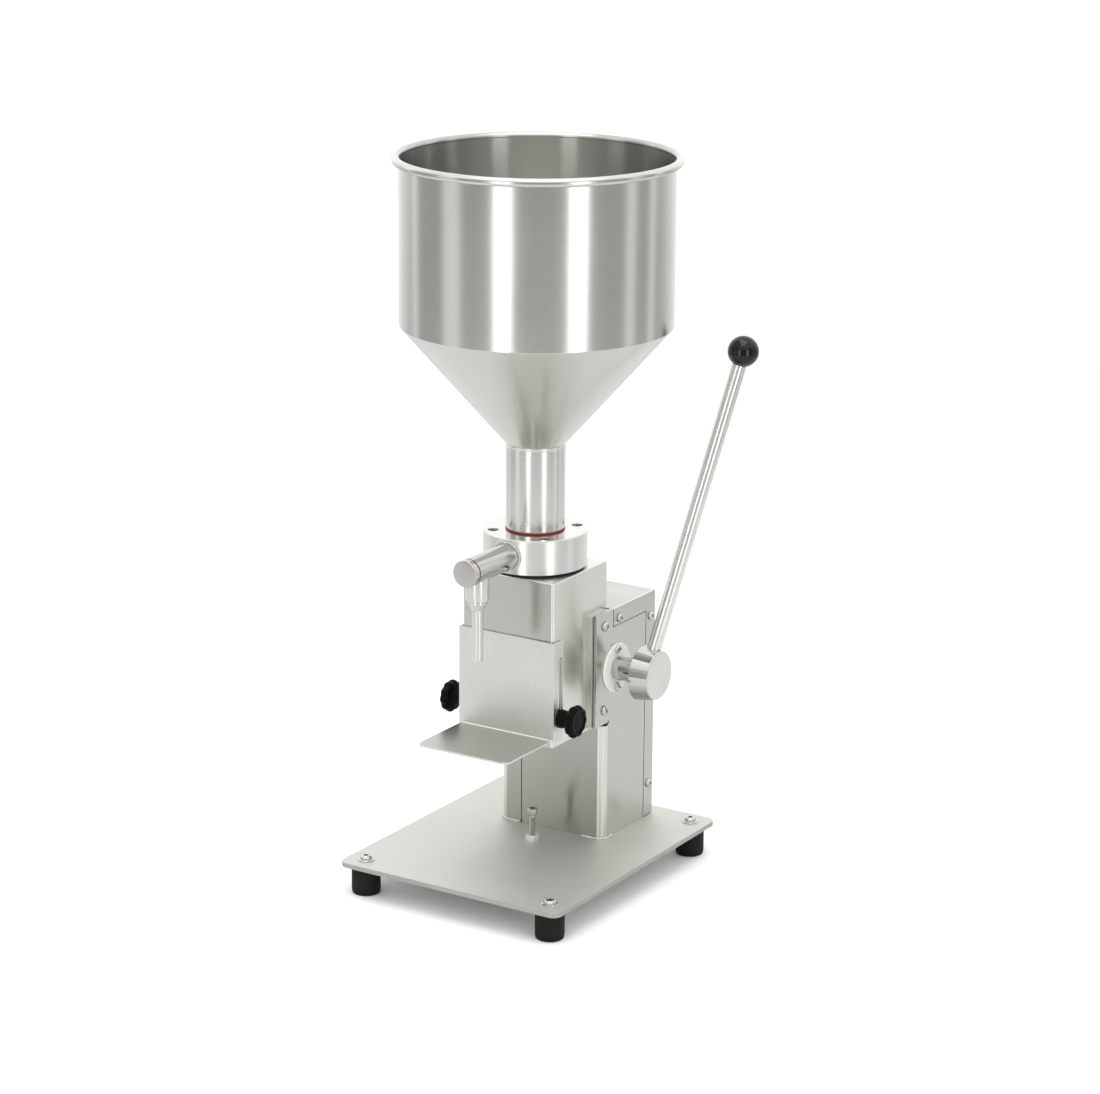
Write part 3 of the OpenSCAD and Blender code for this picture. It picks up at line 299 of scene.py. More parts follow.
# the column's front: painted shade, the darkest tint, for the dark reflection of the shelf and the plate in
# it
panel_shade_steel = brushed_steel("stainless_panel_painted_shade", "#B8B8B3", "#B5B5B0", LEVEL, 0.24, 0.9, FAINT)
# the base plate: matt and even
plate_steel = brushed_steel("brushed_stainless_plate", "#D4D4CF", "#CECEC9", CROSSWAYS, 0.58)
# the plate's cut edge: darker and speckled
cut_steel = brushed_steel("cut_stainless_edge", "#BEBEB9", "#AEAEA9", CUT_GRAIN, 0.45)
# the shelf: a pale, cloudy satin without direction
shelf_steel = brushed_steel("brushed_stainless_shelf", "#E2E1DC", "#D6D5D0", SHELF_GRAIN, 0.46)
# the shelf's top: painted shade, a darker tint for the dark reflection that lies on it, and smoother
shelf_top_shade_steel = brushed_steel("stainless_shelf_top_painted_shade", "#C0C0BC", "#B4B4B0", SHELF_GRAIN, 0.36)
# folds: painted highlight, a lighter and smoother tint that draws thin bright lines
fold_highlight_steel = brushed_steel("stainless_fold_painted_highlight", "#DEDED9", "#DADAD5", LEVEL, 0.19, 0.9, FAINT)
print("scratches drawn", FINE_SCRATCH, "mm apart")

# %% [markdown]
# ## Turned stainless steel
#
# The head, the outlet, the nozzle and the lever's hub come from a lathe, whose tool leaves fine rings round
# the axis. So the pattern is drawn in the lathe's own two measures, the distance along the axis and the
# distance from it. Rings of 0.2 mm would vanish at this size and are drawn 1 mm apart or more. Turned steel
# is smoother than ground sheet, and its reflections have sharper edges.

# %% Turned steel
def turned_steel(name, light, dark, centre, axis, roughness, stretch=0.0, ring=1.0):
    """Steel turned about the axis through centre (mm). stretch draws highlights out along the axis."""
    material, tree, place = blank_material(name)
    centred = add(tree, "VectorMath", {0: place, 1: [c * MM for c in centre]}, operation="SUBTRACT")
    around = add(tree, "VectorMath", {0: axis, 1: centred}, operation="CROSS_PRODUCT")
    radius = add(tree, "VectorMath", {0: around}, operation="LENGTH")
    height = add(tree, "VectorMath", {0: centred, 1: axis}, operation="DOT_PRODUCT")
    section = add(tree, "CombineXYZ", {0: radius.outputs["Value"], 1: height.outputs["Value"]})
    rings = add(tree, "TexNoise", {"Vector": section, "Scale": 1 / (ring * MM), "Detail": 2.0})
    tangent = add(tree, "VectorTransform", {0: around}, convert_from="OBJECT", convert_to="WORLD")
    coat_with_steel(tree, place, rings, tangent, light, dark, roughness, stretch, relief=0.004,
                    marks_mm=30, play=0.03, depth_mm=0.2)
    return material


# %% Finishes of the turned parts
SHAFT_Y, SHAFT_Z = 57.5, 219.0
PIPE_Z = 355.0
NOZZLE_Y = -106.5
UP = (0, 0, 1)
UPRIGHT = ((0, 0, 0), UP)
PIPE_LINE = ((0, 0, PIPE_Z), (0, 1, 0))
SHAFT_LINE = ((0, SHAFT_Y, SHAFT_Z), (1, 0, 0))

# the head's side: satin with one broad highlight
head_steel = turned_steel("turned_stainless_head", "#E2E2DE", "#DFDFDB", *UPRIGHT, 0.36, 0.8)
# the head's top: smooth enough to mirror the spout
polished_steel = turned_steel("polished_stainless_head_top", "#DEDEDA", "#DBDBD7", *UPRIGHT, 0.08, 0.0, 3.0)
# the spout: upright streaks of light
spout_steel = turned_steel("drawn_stainless_spout", "#DADAD6", "#D7D7D3", *UPRIGHT, 0.27, 0.8)
# the outlet pipe and its plug: sharp streaks along the pipe
pipe_steel = turned_steel("turned_stainless_outlet", "#C3C3BF", "#BFBFBB", *PIPE_LINE, 0.13, 0.6)
# the nozzle: pale satin
nozzle_steel = turned_steel("turned_stainless_nozzle", "#DADAD6", "#D6D6D2", (0, NOZZLE_Y, 0), UP, 0.25, 0.8)
# the lever's hub: a bright mirror, light and dark by turns
hub_steel = turned_steel("turned_stainless_hub", "#CCCCC7", "#C6C6C1", *SHAFT_LINE, 0.10, 0.3)
# the hub's faced end: pale, with rings round its middle
faced_steel = turned_steel("faced_stainless_hub", "#DEDED9", "#D4D4CF", *SHAFT_LINE, 0.32, 0.0, 1.5)
# screws, studs and welds: small hard highlights
bolt_steel = turned_steel("bright_stainless_bolts", "#CCCCC8", "#BEBEBA", *UPRIGHT, 0.12, 0.0, 2.0)
# the stop screw's rolled thread: a darker mirror, so that the grooves show
stop_steel = turned_steel("rolled_stainless_thread", "#B8B8B4", "#A6A6A2", *UPRIGHT, 0.14, 0.0, 2.0)
# its nut: painted highlight, a whitish tint that stands in for the light on its faces, so that it stands out
# from the plate
nut_highlight_steel = turned_steel("stainless_nut_painted_highlight", "#F2F2EE", "#E6E6E2", *UPRIGHT, 0.48, 0.0, 2.0)
# cap screws, gear and springs: dull dark grey
dark_steel = turned_steel("machined_carbon_steel", "#8E8E8B", "#70706D", *UPRIGHT, 0.35, 0.0, 1.5)
print("turned finishes ready")

# %% [markdown]
# ## Plastics and rubber
#
# The knobs are moulded from black thermoset, the lever's ball is polished phenolic resin, the feet are
# vulcanised rubber, the two rings silicone and the bushings acetal. All share one recipe: a base colour
# that varies by a few per cent, a roughness, and a fine bump with the real size of the grain.

# %% Moulded materials
def moulded(name, light, dark, roughness, grain, relief, ior=1.5, gloss=0.5):
    """A plastic or rubber with a fine moulded grain, whose size is in mm."""
    material, tree, place = blank_material(name)
    pebble = add(tree, "TexNoise", {"Vector": place, "Scale": 1 / (grain * MM), "Detail": 2.0})
    cloud = add(tree, "TexNoise", {"Vector": place, "Scale": 1 / (18 * MM), "Detail": 3.0})
    tint = add(tree, "Mix", {0: cloud, 6: linear(dark), 7: linear(light)}, data_type="RGBA")
    rough = add(tree, "MapRange", {
        "Value": cloud, "From Min": 0.3, "From Max": 0.7,
        "To Min": roughness * 0.85, "To Max": roughness * 1.15})
    bump = add(tree, "Bump", {"Height": pebble, "Strength": relief, "Distance": 0.2 * MM})
    shader = add(tree, "BsdfPrincipled", {
        "Base Color": tint.outputs[2], "Roughness": rough, "IOR": ior, "Specular IOR Level": gloss,
        "Normal": bump})
    add(tree, "OutputMaterial", {"Surface": shader})
    return material


# %% Finishes of plastic and rubber
# knobs: deep black with a dull satin skin
knob_black = moulded("moulded_thermoset_black", "#0A0A09", "#060606", 0.45, 0.8, 0.12, gloss=0.08)
# the lever's ball: black gloss with small sharp highlights
ball_black = moulded("polished_phenolic_black", "#080808", "#050505", 0.07, 6.0, 0.01, 1.55, 0.35)
# feet: matt charcoal
foot_rubber = moulded("vulcanised_rubber_black", "#151514", "#0F0F0F", 0.62, 0.9, 0.2, gloss=0.25)
# rings: red-brown with a soft shine
ring_red = moulded("silicone_red_brown", "#A45250", "#904442", 0.42, 0.8, 0.05, 1.42)
# bushings: clean white, slightly waxy
bushing_white = moulded("machined_acetal_white", "#FBFBF8", "#F6F6F2", 0.38, 1.0, 0.05, 1.48)
print("moulded finishes ready")

# %% [markdown]
# ## Making pieces
#
# The first helper makes an object from points in millimetres. The next two turn a piece's modifiers into a
# plain mesh, close it and shade it smoothly, with sharp edges where faces meet at an angle. Narrow faces
# tilt the shading of a large one beside them, which polished steel shows as waves, so a fourth lets the
# large faces decide. The last hands a piece to the frame: it sets the body that the piece rides on and hides
# the CAD solids that it stands for.

# %% Piece helpers
def new_piece(name, points, faces=(), edges=()):
    """An object at the origin whose mesh has these points, in mm."""
    mesh = bpy.data.meshes.new(name)
    mesh.from_pydata([Vector(p) * MM for p in points], edges, faces)
    piece = bpy.data.objects.new(name, mesh)
    scene.collection.objects.link(piece)
    return piece


def bake(piece):
    """Turns a piece's modifiers into a plain mesh."""
    graph = bpy.context.evaluated_depsgraph_get()
    piece.data = bpy.data.meshes.new_from_object(piece.evaluated_get(graph))
    piece.modifiers.clear()


def settle(piece, sharp=35):
    """Bakes a piece into a closed mesh with smooth faces."""
    bake(piece)
    work = bmesh.new()
    work.from_mesh(piece.data)
    bmesh.ops.remove_doubles(work, verts=work.verts, dist=0.001 * MM)
    bmesh.ops.dissolve_degenerate(work, edges=work.edges, dist=0.0001 * MM)
    bmesh.ops.recalc_face_normals(work, faces=work.faces)
    for face in work.faces:
        face.smooth = True
    work.to_mesh(piece.data)
    work.free()
    piece.data.set_sharp_from_angle(angle=radians(sharp))
    return piece


def flatten(piece):
    """Lets the large faces decide the shading, so that a flat sheet mirrors without waves."""
    shading = piece.modifiers.new("flat", "WEIGHTED_NORMAL")
    shading.weight = 100
    shading.keep_sharp = True
    bake(piece)
    return piece


def keep(piece, slot, *replaced, body="machine"):
    """Hands a finished piece to the frame."""
    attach(piece, body)
    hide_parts(*replaced)
    print(piece.name, "on", body, "faces", len(piece.data.polygons), "for", ", ".join(replaced))


# %% [markdown]
# ## Geometry Nodes: one way to build and run a tree
#
# A tree has named inputs for its sizes, and every tree here ends in Realize Instances, which makes real
# faces, and Set Material. Running a tree sets the modifier's inputs by their identifiers, takes the result
# as a plain mesh and removes the modifier.

# %% Tree helpers
def new_tree(name, **inputs):
    """A tree with these inputs, each given by its kind of socket. Returns it and its inputs."""
    tree = bpy.data.node_groups.new(name, "GeometryNodeTree")
    for label, kind in inputs.items():
        tree.interface.new_socket(label, in_out="INPUT", socket_type="NodeSocket" + kind)
    tree.interface.new_socket("Shape", in_out="OUTPUT", socket_type="NodeSocketGeometry")
    return tree, tree.nodes.new("NodeGroupInput").outputs


def close_tree(tree, shape, finish):
    """The last nodes of a tree."""
    whole = add(tree, "GeometryNodeRealizeInstances", {"Geometry": shape})
    coated = add(tree, "GeometryNodeSetMaterial", {"Geometry": whole, "Material": finish})
    add(tree, "NodeGroupOutput", {"Shape": coated})
    print("tree", tree.name, "has", len(tree.nodes), "nodes")


def grow(piece, tree, **values):
    """Runs a tree on a piece with these inputs and keeps the result."""
    modifier = piece.modifiers.new(tree.name, "NODES")
    modifier.node_group = tree
    for socket in tree.interface.items_tree:
        if socket.name in values:
            modifier[socket.identifier] = values[socket.name]
    return settle(piece)


# %% [markdown]
# ## The lathe
#
# The hopper, the rings, the nozzle and the lever's ball are solids of revolution: a section swept round an
# axis. The Spin operator could do it, but a tree keeps the section as the only thing to edit. The section
# is a chain of points (radius, height). Curve to Mesh sweeps it along a small circle whose normal points
# outwards, so the section's x becomes the radius and its y points down; a Set Position node turns the
# points to suit.

# %% The lathe's tree
LATHE_CIRCLE = 1.0 * MM

lathe, given = new_tree("lathe", Section="Geometry", Segments="Int", Place="Vector", Turn="Vector",
                        Finish="Material")
chain = add(lathe, "GeometryNodeMeshToCurve", {"Mesh": given["Section"]})
at = add(lathe, "SeparateXYZ", {0: add(lathe, "GeometryNodeInputPosition")})
out = add(lathe, "Math", {0: at.outputs["X"], 1: LATHE_CIRCLE}, operation="SUBTRACT")
down = add(lathe, "Math", {0: at.outputs["Y"], 1: -1.0}, operation="MULTIPLY")
profile = add(lathe, "GeometryNodeSetPosition", {
    "Geometry": chain, "Position": add(lathe, "CombineXYZ", {0: out, 1: down})})
circle = add(lathe, "GeometryNodeCurvePrimitiveCircle", {
    "Resolution": given["Segments"], "Radius": LATHE_CIRCLE})
level = add(lathe, "GeometryNodeSetCurveNormal", {"Curve": circle}, mode="Z_UP")
swept = add(lathe, "GeometryNodeCurveToMesh", {"Curve": level, "Profile Curve": profile})
placed = add(lathe, "GeometryNodeTransform", {
    "Geometry": swept, "Translation": given["Place"], "Rotation": given["Turn"]})
close_tree(lathe, placed, given["Finish"])


# %% Sections for the lathe
def on_circle(radius, angle, x=0.0, y=0.0):
    """The point at an angle in degrees on a circle round (x, y)."""
    return x + radius * cos(radians(angle)), y + radius * sin(radians(angle))


def rounded(outline, steps=5):
    """The points of an outline of (x, y, radius) corners, with each corner rounded by its radius."""
    path = []
    for i, (x, y, radius) in enumerate(outline):
        corner = Vector((x, y))
        if not radius:
            path.append(corner)
            continue
        before = (Vector(outline[i - 1][:2]) - corner).normalized()
        after = (Vector(outline[(i + 1) % len(outline)][:2]) - corner).normalized()
        half = before.angle(after) / 2
        centre = corner + (before + after).normalized() * radius / sin(half)
        reach = radius / tan(half)
        spokes = (corner + before * reach - centre, corner + after * reach - centre)
        first, last = [atan2(spoke.y, spoke.x) for spoke in spokes]
        sweep = (last - first + pi) % (2 * pi) - pi
        for k in range(steps + 1):
            turn = first + sweep * k / steps
            path.append(centre + radius * Vector((cos(turn), sin(turn))))
    return path


def turn_on_lathe(name, section, finish, place=(0, 0, 0), turn=(0, 0, 0), closed=True, segments=96):
    """A turned piece from the points (radius, height) of its section, in mm. turn is in degrees."""
    count = len(section)
    edges = [(i, (i + 1) % count) for i in range(count if closed else count - 1)]
    piece = new_piece(name, [(r, h, 0) for r, h in section], edges=edges)
    return grow(piece, lathe, Segments=segments, Place=[c * MM for c in place],
                Turn=[radians(a) for a in turn], Finish=finish)


# %% [markdown]
# ## The hopper
#
# The hopper is made of sheet 1 mm thick: a straight wall, a cone welded under it, and a rim that is rolled
# outwards into a hollow bead so that the edge is stiff and doesn't cut. Its section runs once round, up the
# outside, round the bead and down the inside. The bead reaches 0.3 mm further in than the wall, which draws
# the fine line under the rim.

# %% Hopper shell
HOPPER_R, HOPPER_SHEET = 137.75, 1.0
CONE_FOOT_Z, CONE_TOP_Z = 462.3, 584.8
SPOUT_R, SPOUT_BORE_R, CONE_BORE_R = 30.25, 28.25, 28.92
BEAD_R, BEAD_X, BEAD_Z = 4.35, 140.8, 750.95
STEP_UNDER_BEAD = 0.3

bead = [on_circle(BEAD_R, a, BEAD_X, BEAD_Z) for a in range(226, 562, 12)]
outside = rounded([(SPOUT_R, CONE_FOOT_Z, 0), (HOPPER_R, CONE_TOP_Z, 1.5), (HOPPER_R, bead[0][1], 0)])
inner_r = HOPPER_R - HOPPER_SHEET
inside = rounded([
    (inner_r, bead[-1][1] - STEP_UNDER_BEAD, 0), (inner_r, CONE_TOP_Z + 0.4, 1.2),
    (CONE_BORE_R, CONE_FOOT_Z, 0)])
shell = turn_on_lathe("hopper_shell", outside + bead + inside, spun_steel, segments=192)
# painted shade: the faces that look inwards take the darker inside tint
shell.data.materials.append(shaded_inside_steel)
for face in shell.data.polygons:
    if face.center.xy.dot(face.normal.xy) < 0:
        face.material_index = 1
keep(shell, "brushed_steel", "hopper_wall", "hopper_cone")

# %% [markdown]
# Under the cone sits the spout, a tube whose lower edge presses a red ring of silicone to an oval. Its seam
# with the cone is a ground weld, so its upper end swells a little.

# %% Spout and its ring
SPOUT_FOOT_Z = 374.9

spout = turn_on_lathe("hopper_spout_tube", rounded([
    (SPOUT_BORE_R, SPOUT_FOOT_Z, 0.4), (SPOUT_R, SPOUT_FOOT_Z, 0.4), (SPOUT_R, 459.6, 2), (30.75, 461.3, 0.6),
    (SPOUT_R, CONE_FOOT_Z, 0), (SPOUT_BORE_R, CONE_FOOT_Z, 0)]), spout_steel)
keep(spout, "polished_steel", "hopper_spout")


def cord_section(radius, height, thickness, pressed=1.0, steps=16):
    """Round section of an O-ring, or an oval one where it is pressed to a share of its thickness."""
    circle_points = [on_circle(thickness / 2, 360 * k / steps) for k in range(steps)]
    return [(radius + x, height + pressed * y) for x, y in circle_points]


keep(turn_on_lathe("hopper_ring", cord_section(29.35, 374.0, 2.6, 0.69), ring_red),
     "red_rubber", "hopper_o_ring")

# %% [markdown]
# ## Sheets, plates and blocks
#
# The folded sheets and the machined blocks have their final form in CAD, apart from their edges: a CAD edge
# is perfectly sharp, while a real one is broken by a file and catches a thin line of light. So each piece
# starts as a copy of its solid. The triangles are joined, flat areas become single faces, and a Bevel
# modifier rounds every edge sharper than 30 degrees by a fraction of a millimetre. Where a sheet was
# folded, at the top of the box or in the inner corner of the shelf, the fold is rounder than a cut edge,
# and its bevel weight says so. A face's direction then tells which finish it gets.

# %% Broken edges
FOLD_ZONE = 10 * MM
TOUCH = 0.01 * MM
SHARP = radians(30)


def break_edges(node, slot, finish, edge, others=(), fold=0.0, inner=False, slit=0.0, body="machine"):
    """A copy of a CAD solid with its edges rounded by edge mm. others are finishes, each with a test of the
    face's normal. fold is the radius of the upper edges, or of the inner ones; slit draws the sides in."""
    work = bmesh.new()
    work.from_mesh(nodes[node].data)
    bmesh.ops.remove_doubles(work, verts=work.verts, dist=0.002 * MM)
    bmesh.ops.dissolve_limit(work, angle_limit=radians(0.5), verts=work.verts, edges=work.edges)
    reach = max(abs(point.co.x) for point in work.verts) - TOUCH
    for point in work.verts:
        if slit and abs(point.co.x) > reach:
            point.co.x -= copysign(slit * MM, point.co.x)
    low, high = [[pick(point.co[i] for point in work.verts) for i in range(3)] for pick in (min, max)]
    weight = work.edges.layers.float.new("bevel_weight_edge")
    for line in work.edges:
        middle = (line.verts[0].co + line.verts[1].co) / 2
        inset = min(min(middle[i] - low[i], high[i] - middle[i]) for i in (0, 1))
        is_bend = middle.z > high[2] - TOUCH and inset < FOLD_ZONE
        if inner:
            is_bend = line.calc_face_angle_signed(0) < 0
        if line.calc_face_angle(0) > SHARP:
            line[weight] = 1.0 if is_bend or not fold else edge / fold
    piece = new_piece(node + "_finished", [])
    work.to_mesh(piece.data)
    work.free()
    piece.data.materials.append(finish)
    bevel = piece.modifiers.new("edge", "BEVEL")
    bevel.width = max(edge, fold) * MM
    bevel.segments = 2
    bevel.limit_method = "WEIGHT"
    bevel.use_clamp_overlap = not fold
    flatten(settle(piece, 50))
    for number, (other, is_there) in enumerate(others, 1):
        piece.data.materials.append(other)
        for face in piece.data.polygons:
            if is_there(face.normal):
                face.material_index = number
    keep(piece, slot, node, body=body)


# %% Faces by direction
def faces_up(normal):
    """Tests for a top."""
    return normal.z > 0.9


def faces_front(normal):
    """Tests for a front."""
    return normal.y < -0.95


def is_cut(normal):
    """Tests for the cut edge of a level plate."""
    return abs(normal.z) < 0.1


def is_fold(normal):
    """Tests for a bend, which lies askew to all axes."""
    return max(abs(c) for c in normal) < 0.985


# %% Edges of the sheets and blocks
# painted highlight: the bends take the lighter fold tint
FOLD_HIGHLIGHTS = (fold_highlight_steel, is_fold)
break_edges("base_plate", "brushed_steel", plate_steel, 0.7, [(cut_steel, is_cut)])
# the fronts of the column's sides take the panel's painted shade
for node in ("column_side_left", "column_side_right"):
    break_edges(node, "brushed_steel", column_steel, 0.35, [(panel_shade_steel, faces_front), FOLD_HIGHLIGHTS])
break_edges("column_front_panel", "brushed_steel", panel_shade_steel, 0.35)
break_edges("rear_cover", "brushed_steel", column_steel, 0.35, [FOLD_HIGHLIGHTS], fold=1.6)
# painted shade: the box's front takes the greyer column tint, its sides the pale box tint
break_edges("front_box", "brushed_steel", sheet_steel, 0.5, [(column_steel, faces_front), FOLD_HIGHLIGHTS], fold=1.6)
for node in ("box_doubler_left", "box_doubler_right"):
    break_edges(node, "brushed_steel", sheet_steel, 0.2, slit=0.45)
# painted shade on the shelf's top, painted highlight on its fold
break_edges("shelf_bracket", "brushed_steel", shelf_steel, 0.3, [(shelf_top_shade_steel, faces_up), FOLD_HIGHLIGHTS],
            fold=1.5, inner=True, body="shelf")
break_edges("head_disc", "polished_steel", head_steel, 0.4, [(polished_steel, faces_up)])
break_edges("head_spigot", "polished_steel", head_steel, 0.4)
for node in ("bushing_left", "bushing_right"):
    break_edges(node, "white_plastic", bushing_white, 0.4)

# %% [markdown]
# ## Screws
#
# Screws are of two kinds: button heads on the outside and cylinder heads on the head disc, both with a
# hexagon socket. One screw is a stack of rings of points, round ones for head and shank and hexagonal ones
# for the socket. A tree then puts a copy at each place: points carry the direction in which their screw
# looks, and a seeded random turn leaves the sockets at different angles, as a fitter does.

# %% One screw
def hexagon(across, angle):
    """Distance from the centre to the side of a hexagon at an angle."""
    return across / 2 / cos((angle + pi / 6) % (pi / 3) - pi / 6)


def stack(rings, finish, steps=36):
    """A closed body from rings (radius, height); a radius may be a function of the angle."""
    points, faces = [], []
    for radius, height in rings:
        for k in range(steps):
            angle = 2 * pi * k / steps
            r = radius(angle) if callable(radius) else radius
            points.append((r * cos(angle), r * sin(angle), height))
    last = (len(rings) - 1) * steps
    for start in range(0, last, steps):
        for k in range(steps):
            a, b = start + k, start + (k + 1) % steps
            faces.append((a, b, b + steps, a + steps))
    faces += [tuple(reversed(range(steps))), tuple(range(last, last + steps))]
    piece = new_piece("pattern", points, faces)
    piece.data.materials.append(finish)
    return settle(piece)


def screw_rings(head_d, head_h, socket, shank_d, shank_l, dome, flange=0):
    """Rings of a screw whose head stands on z = 0. dome is the share of the head's height that is rounded,
    and flange the width of a collar round its foot."""
    r = head_d / 2
    # the shank with its chamfered tip, the head's foot, the collar, the dome and the socket
    rings = [(shank_d * 0.38, -shank_l), (shank_d / 2, -shank_l + shank_d * 0.12), (shank_d / 2, 0),
             (r - 0.3, 0), (r, 0.3)]
    if flange:
        rings += [(r, 0.7), (r - 0.4, 1.0), (r - flange, 1.3)]
        r -= flange
    rings.append((r, head_h * (1 - dome) + (0.6 if flange else 0)))
    flat = socket * 0.72
    for k in range(1, 6):
        turn = pi / 2 * k / 5
        rings.append((flat + (r - flat) * cos(turn), head_h * (1 - dome) + head_h * dome * sin(turn)))
    for across, z in ((socket + 0.3, head_h - 0.01), (socket, head_h - 0.2), (socket * 0.98, head_h * 0.42)):
        rings.append((lambda angle, across=across: hexagon(across, angle), z))
    rings.append((socket * 0.2, head_h * 0.3))
    return rings


# %% [markdown]
# The tree for things that repeat takes the points, the object to copy and a seed. Align Rotation to Vector
# turns the copy's Z along the point's own direction before it is spun.

# %% Copies on points
copies, given = new_tree("copies_on_points", Points="Geometry", Copy="Object", Seed="Int", Finish="Material")
heading = add(copies, "GeometryNodeInputNamedAttribute", {"Name": "heading"}, data_type="FLOAT_VECTOR")
aligned = add(copies, "FunctionNodeAlignRotationToVector", {"Vector": heading}, axis="Z")
spin = add(copies, "FunctionNodeRandomValue", {"Max": 2 * pi, "Seed": given["Seed"]}, data_type="FLOAT")
spin_value = next(s for s in spin.outputs if s.enabled)
own_turn = add(copies, "FunctionNodeEulerToRotation", {0: add(copies, "CombineXYZ", {2: spin_value})})
turned = add(copies, "FunctionNodeRotateRotation", {0: aligned, 1: own_turn}, rotation_space="LOCAL")
pattern = add(copies, "GeometryNodeObjectInfo", {"Object": given["Copy"], "As Instance": True})
planted = add(copies, "GeometryNodeInstanceOnPoints", {
    "Points": add(copies, "GeometryNodeMeshToPoints", {"Mesh": given["Points"]}),
    "Instance": pattern.outputs["Geometry"], "Rotation": turned})
close_tree(copies, planted, given["Finish"])


def plant(name, pattern_piece, places, finish, seed=7):
    """Copies of a piece at places ((x, y, z), (direction)), as one mesh. The pattern itself is removed."""
    piece = new_piece(name, [place for place, _ in places])
    heading_of = piece.data.attributes.new("heading", "FLOAT_VECTOR", "POINT")
    for entry, (_, direction) in zip(heading_of.data, places):
        entry.vector = direction
    grow(piece, copies, Copy=pattern_piece, Seed=seed, Finish=finish)
    bpy.data.objects.remove(pattern_piece)
    return piece


def both_sides(places):
    """Places on the right side with their mirror images on the left, looking outwards."""
    return [((s * x, y, z), (s, 0, 0)) for x, y, z in places for s in (1, -1)]


# %% Screws in place
COLUMN_X, BUSHING_X, PLATE_Z, COUNTERBORE_Z = 63.5, 65.5, 35.0, 365
BUSHING_SCREW, HEAD_CIRCLE_R = 20.5, 43.75
COVER_SCREW = screw_rings(9.6, 3.2, 3, 5, 9, 0.85)
foot_places = [(x, y) for x in (-111.5, 111.5) for y in (-144.5, 134.5)]
screw_sets = [
    ("foot_screws", screw_rings(17.6, 5, 5, 8, 20, 0.6, 2.6),
     [((x, y, PLATE_Z), UP) for x, y in foot_places]),
    ("cover_screws", COVER_SCREW,
     both_sides([(COLUMN_X, 63.5, 271), (COLUMN_X, 127, 257), (COLUMN_X, 127, 71)])),
    ("ear_bolts", screw_rings(10.5, 3.2, 4, 6, 12, 0.85),
     both_sides([(COLUMN_X, 35, 178), (COLUMN_X, 35, 268.8)])),
    ("bushing_screws", COVER_SCREW,
     both_sides([(BUSHING_X, SHAFT_Y, SHAFT_Z + offset) for offset in (-BUSHING_SCREW, BUSHING_SCREW)])),
]
for name, rings, places in screw_sets:
    keep(plant(name + "_set", stack(rings, bolt_steel), places, bolt_steel), "screw_steel", name)
CAP_SCREW = screw_rings(10.5, 7, 5, 6, 40, 0.12)
cap_screws = plant("head_screws_set", stack(CAP_SCREW, dark_steel), [
    ((*on_circle(HEAD_CIRCLE_R, a), COUNTERBORE_Z), UP) for a in (45, 135, 225, 315)], dark_steel)
keep(cap_screws, "dark_steel", "head_screws")

# %% [markdown]
# ## Turned parts of the outlet and the lever
#
# The plug closes the outlet pipe with a thin red ring behind its head. The nozzle's tube is drawn down to a
# thin lip at its tip. Both come from the lathe tree; a Turn of 90 degrees about X lays the axis along -Y.

# %% Plug, ring and nozzle tube
PIPE_R, PLUG_NECK_R = 14.0, 9.9
PLUG_FACE, PLUG_BACK, PLUG_END = 130.5, 123.5, 116.9
ALONG_PIPE = ((0, 0, PIPE_Z), (90, 0, 0))

plug = turn_on_lathe("outlet_plug", rounded([
    (0, PLUG_FACE, 0), (PIPE_R, PLUG_FACE, 1.3), (PIPE_R, PLUG_BACK, 0.4), (PLUG_NECK_R, PLUG_BACK, 0),
    (PLUG_NECK_R, PLUG_END, 0.6), (0, PLUG_END, 0)]), pipe_steel, *ALONG_PIPE, closed=False)
keep(flatten(plug), "polished_steel", "end_plug")
keep(turn_on_lathe("plug_ring", cord_section(13.3, 122.7, 1.4), ring_red, *ALONG_PIPE),
     "red_rubber", "plug_o_ring")

NOZZLE_TIP_Z, COLLAR_Z, BOSS_Z, NECK_Z = 259.5, 313.0, 323.0, 329.0
TUBE_R, TUBE_BORE_R, TUBE_NECK_R = 5.75, 4.25, 5.25
tube = turn_on_lathe("nozzle_pipe", rounded([
    (TUBE_BORE_R, NOZZLE_TIP_Z, 0.3), (5.3, NOZZLE_TIP_Z, 0.4), (TUBE_R, NOZZLE_TIP_Z + 2, 1),
    (TUBE_R, COLLAR_Z, 0), (TUBE_NECK_R, COLLAR_Z, 0), (TUBE_NECK_R, NECK_Z, 0), (TUBE_BORE_R, NECK_Z, 0)]),
    nozzle_steel, (0, NOZZLE_Y, 0), segments=64)
keep(tube, "polished_steel", "nozzle_tube")

# %% [markdown]
# The socket that holds the tube is a boss with a smaller collar under it. The lathe gives it a level upper
# end, and each point of that end is then lowered or raised until it lies on the round outlet pipe.

# %% Nozzle socket
LEVEL_END_Z = 345.0
BOSS_R, BOSS_BORE_R, COLLAR_R, SOCKET_BORE_R = 12, 9, 9.75, 5.35
SUNK_IN_PIPE = 0.2
socket = turn_on_lathe("nozzle_boss", rounded([
    (SOCKET_BORE_R, COLLAR_Z, 0), (6.6, COLLAR_Z, 0.3), (9.2, BOSS_Z - 4.6, 0.5),
    (COLLAR_R, BOSS_Z - 3.9, 0.3), (COLLAR_R, BOSS_Z - 0.8, 0.2), (9.2, BOSS_Z, 0), (BOSS_R, BOSS_Z, 0.35),
    (BOSS_R, LEVEL_END_Z, 0), (BOSS_BORE_R, LEVEL_END_Z, 0), (BOSS_BORE_R, NECK_Z, 0),
    (SOCKET_BORE_R, NECK_Z, 0)]),
    nozzle_steel, (0, NOZZLE_Y, 0))
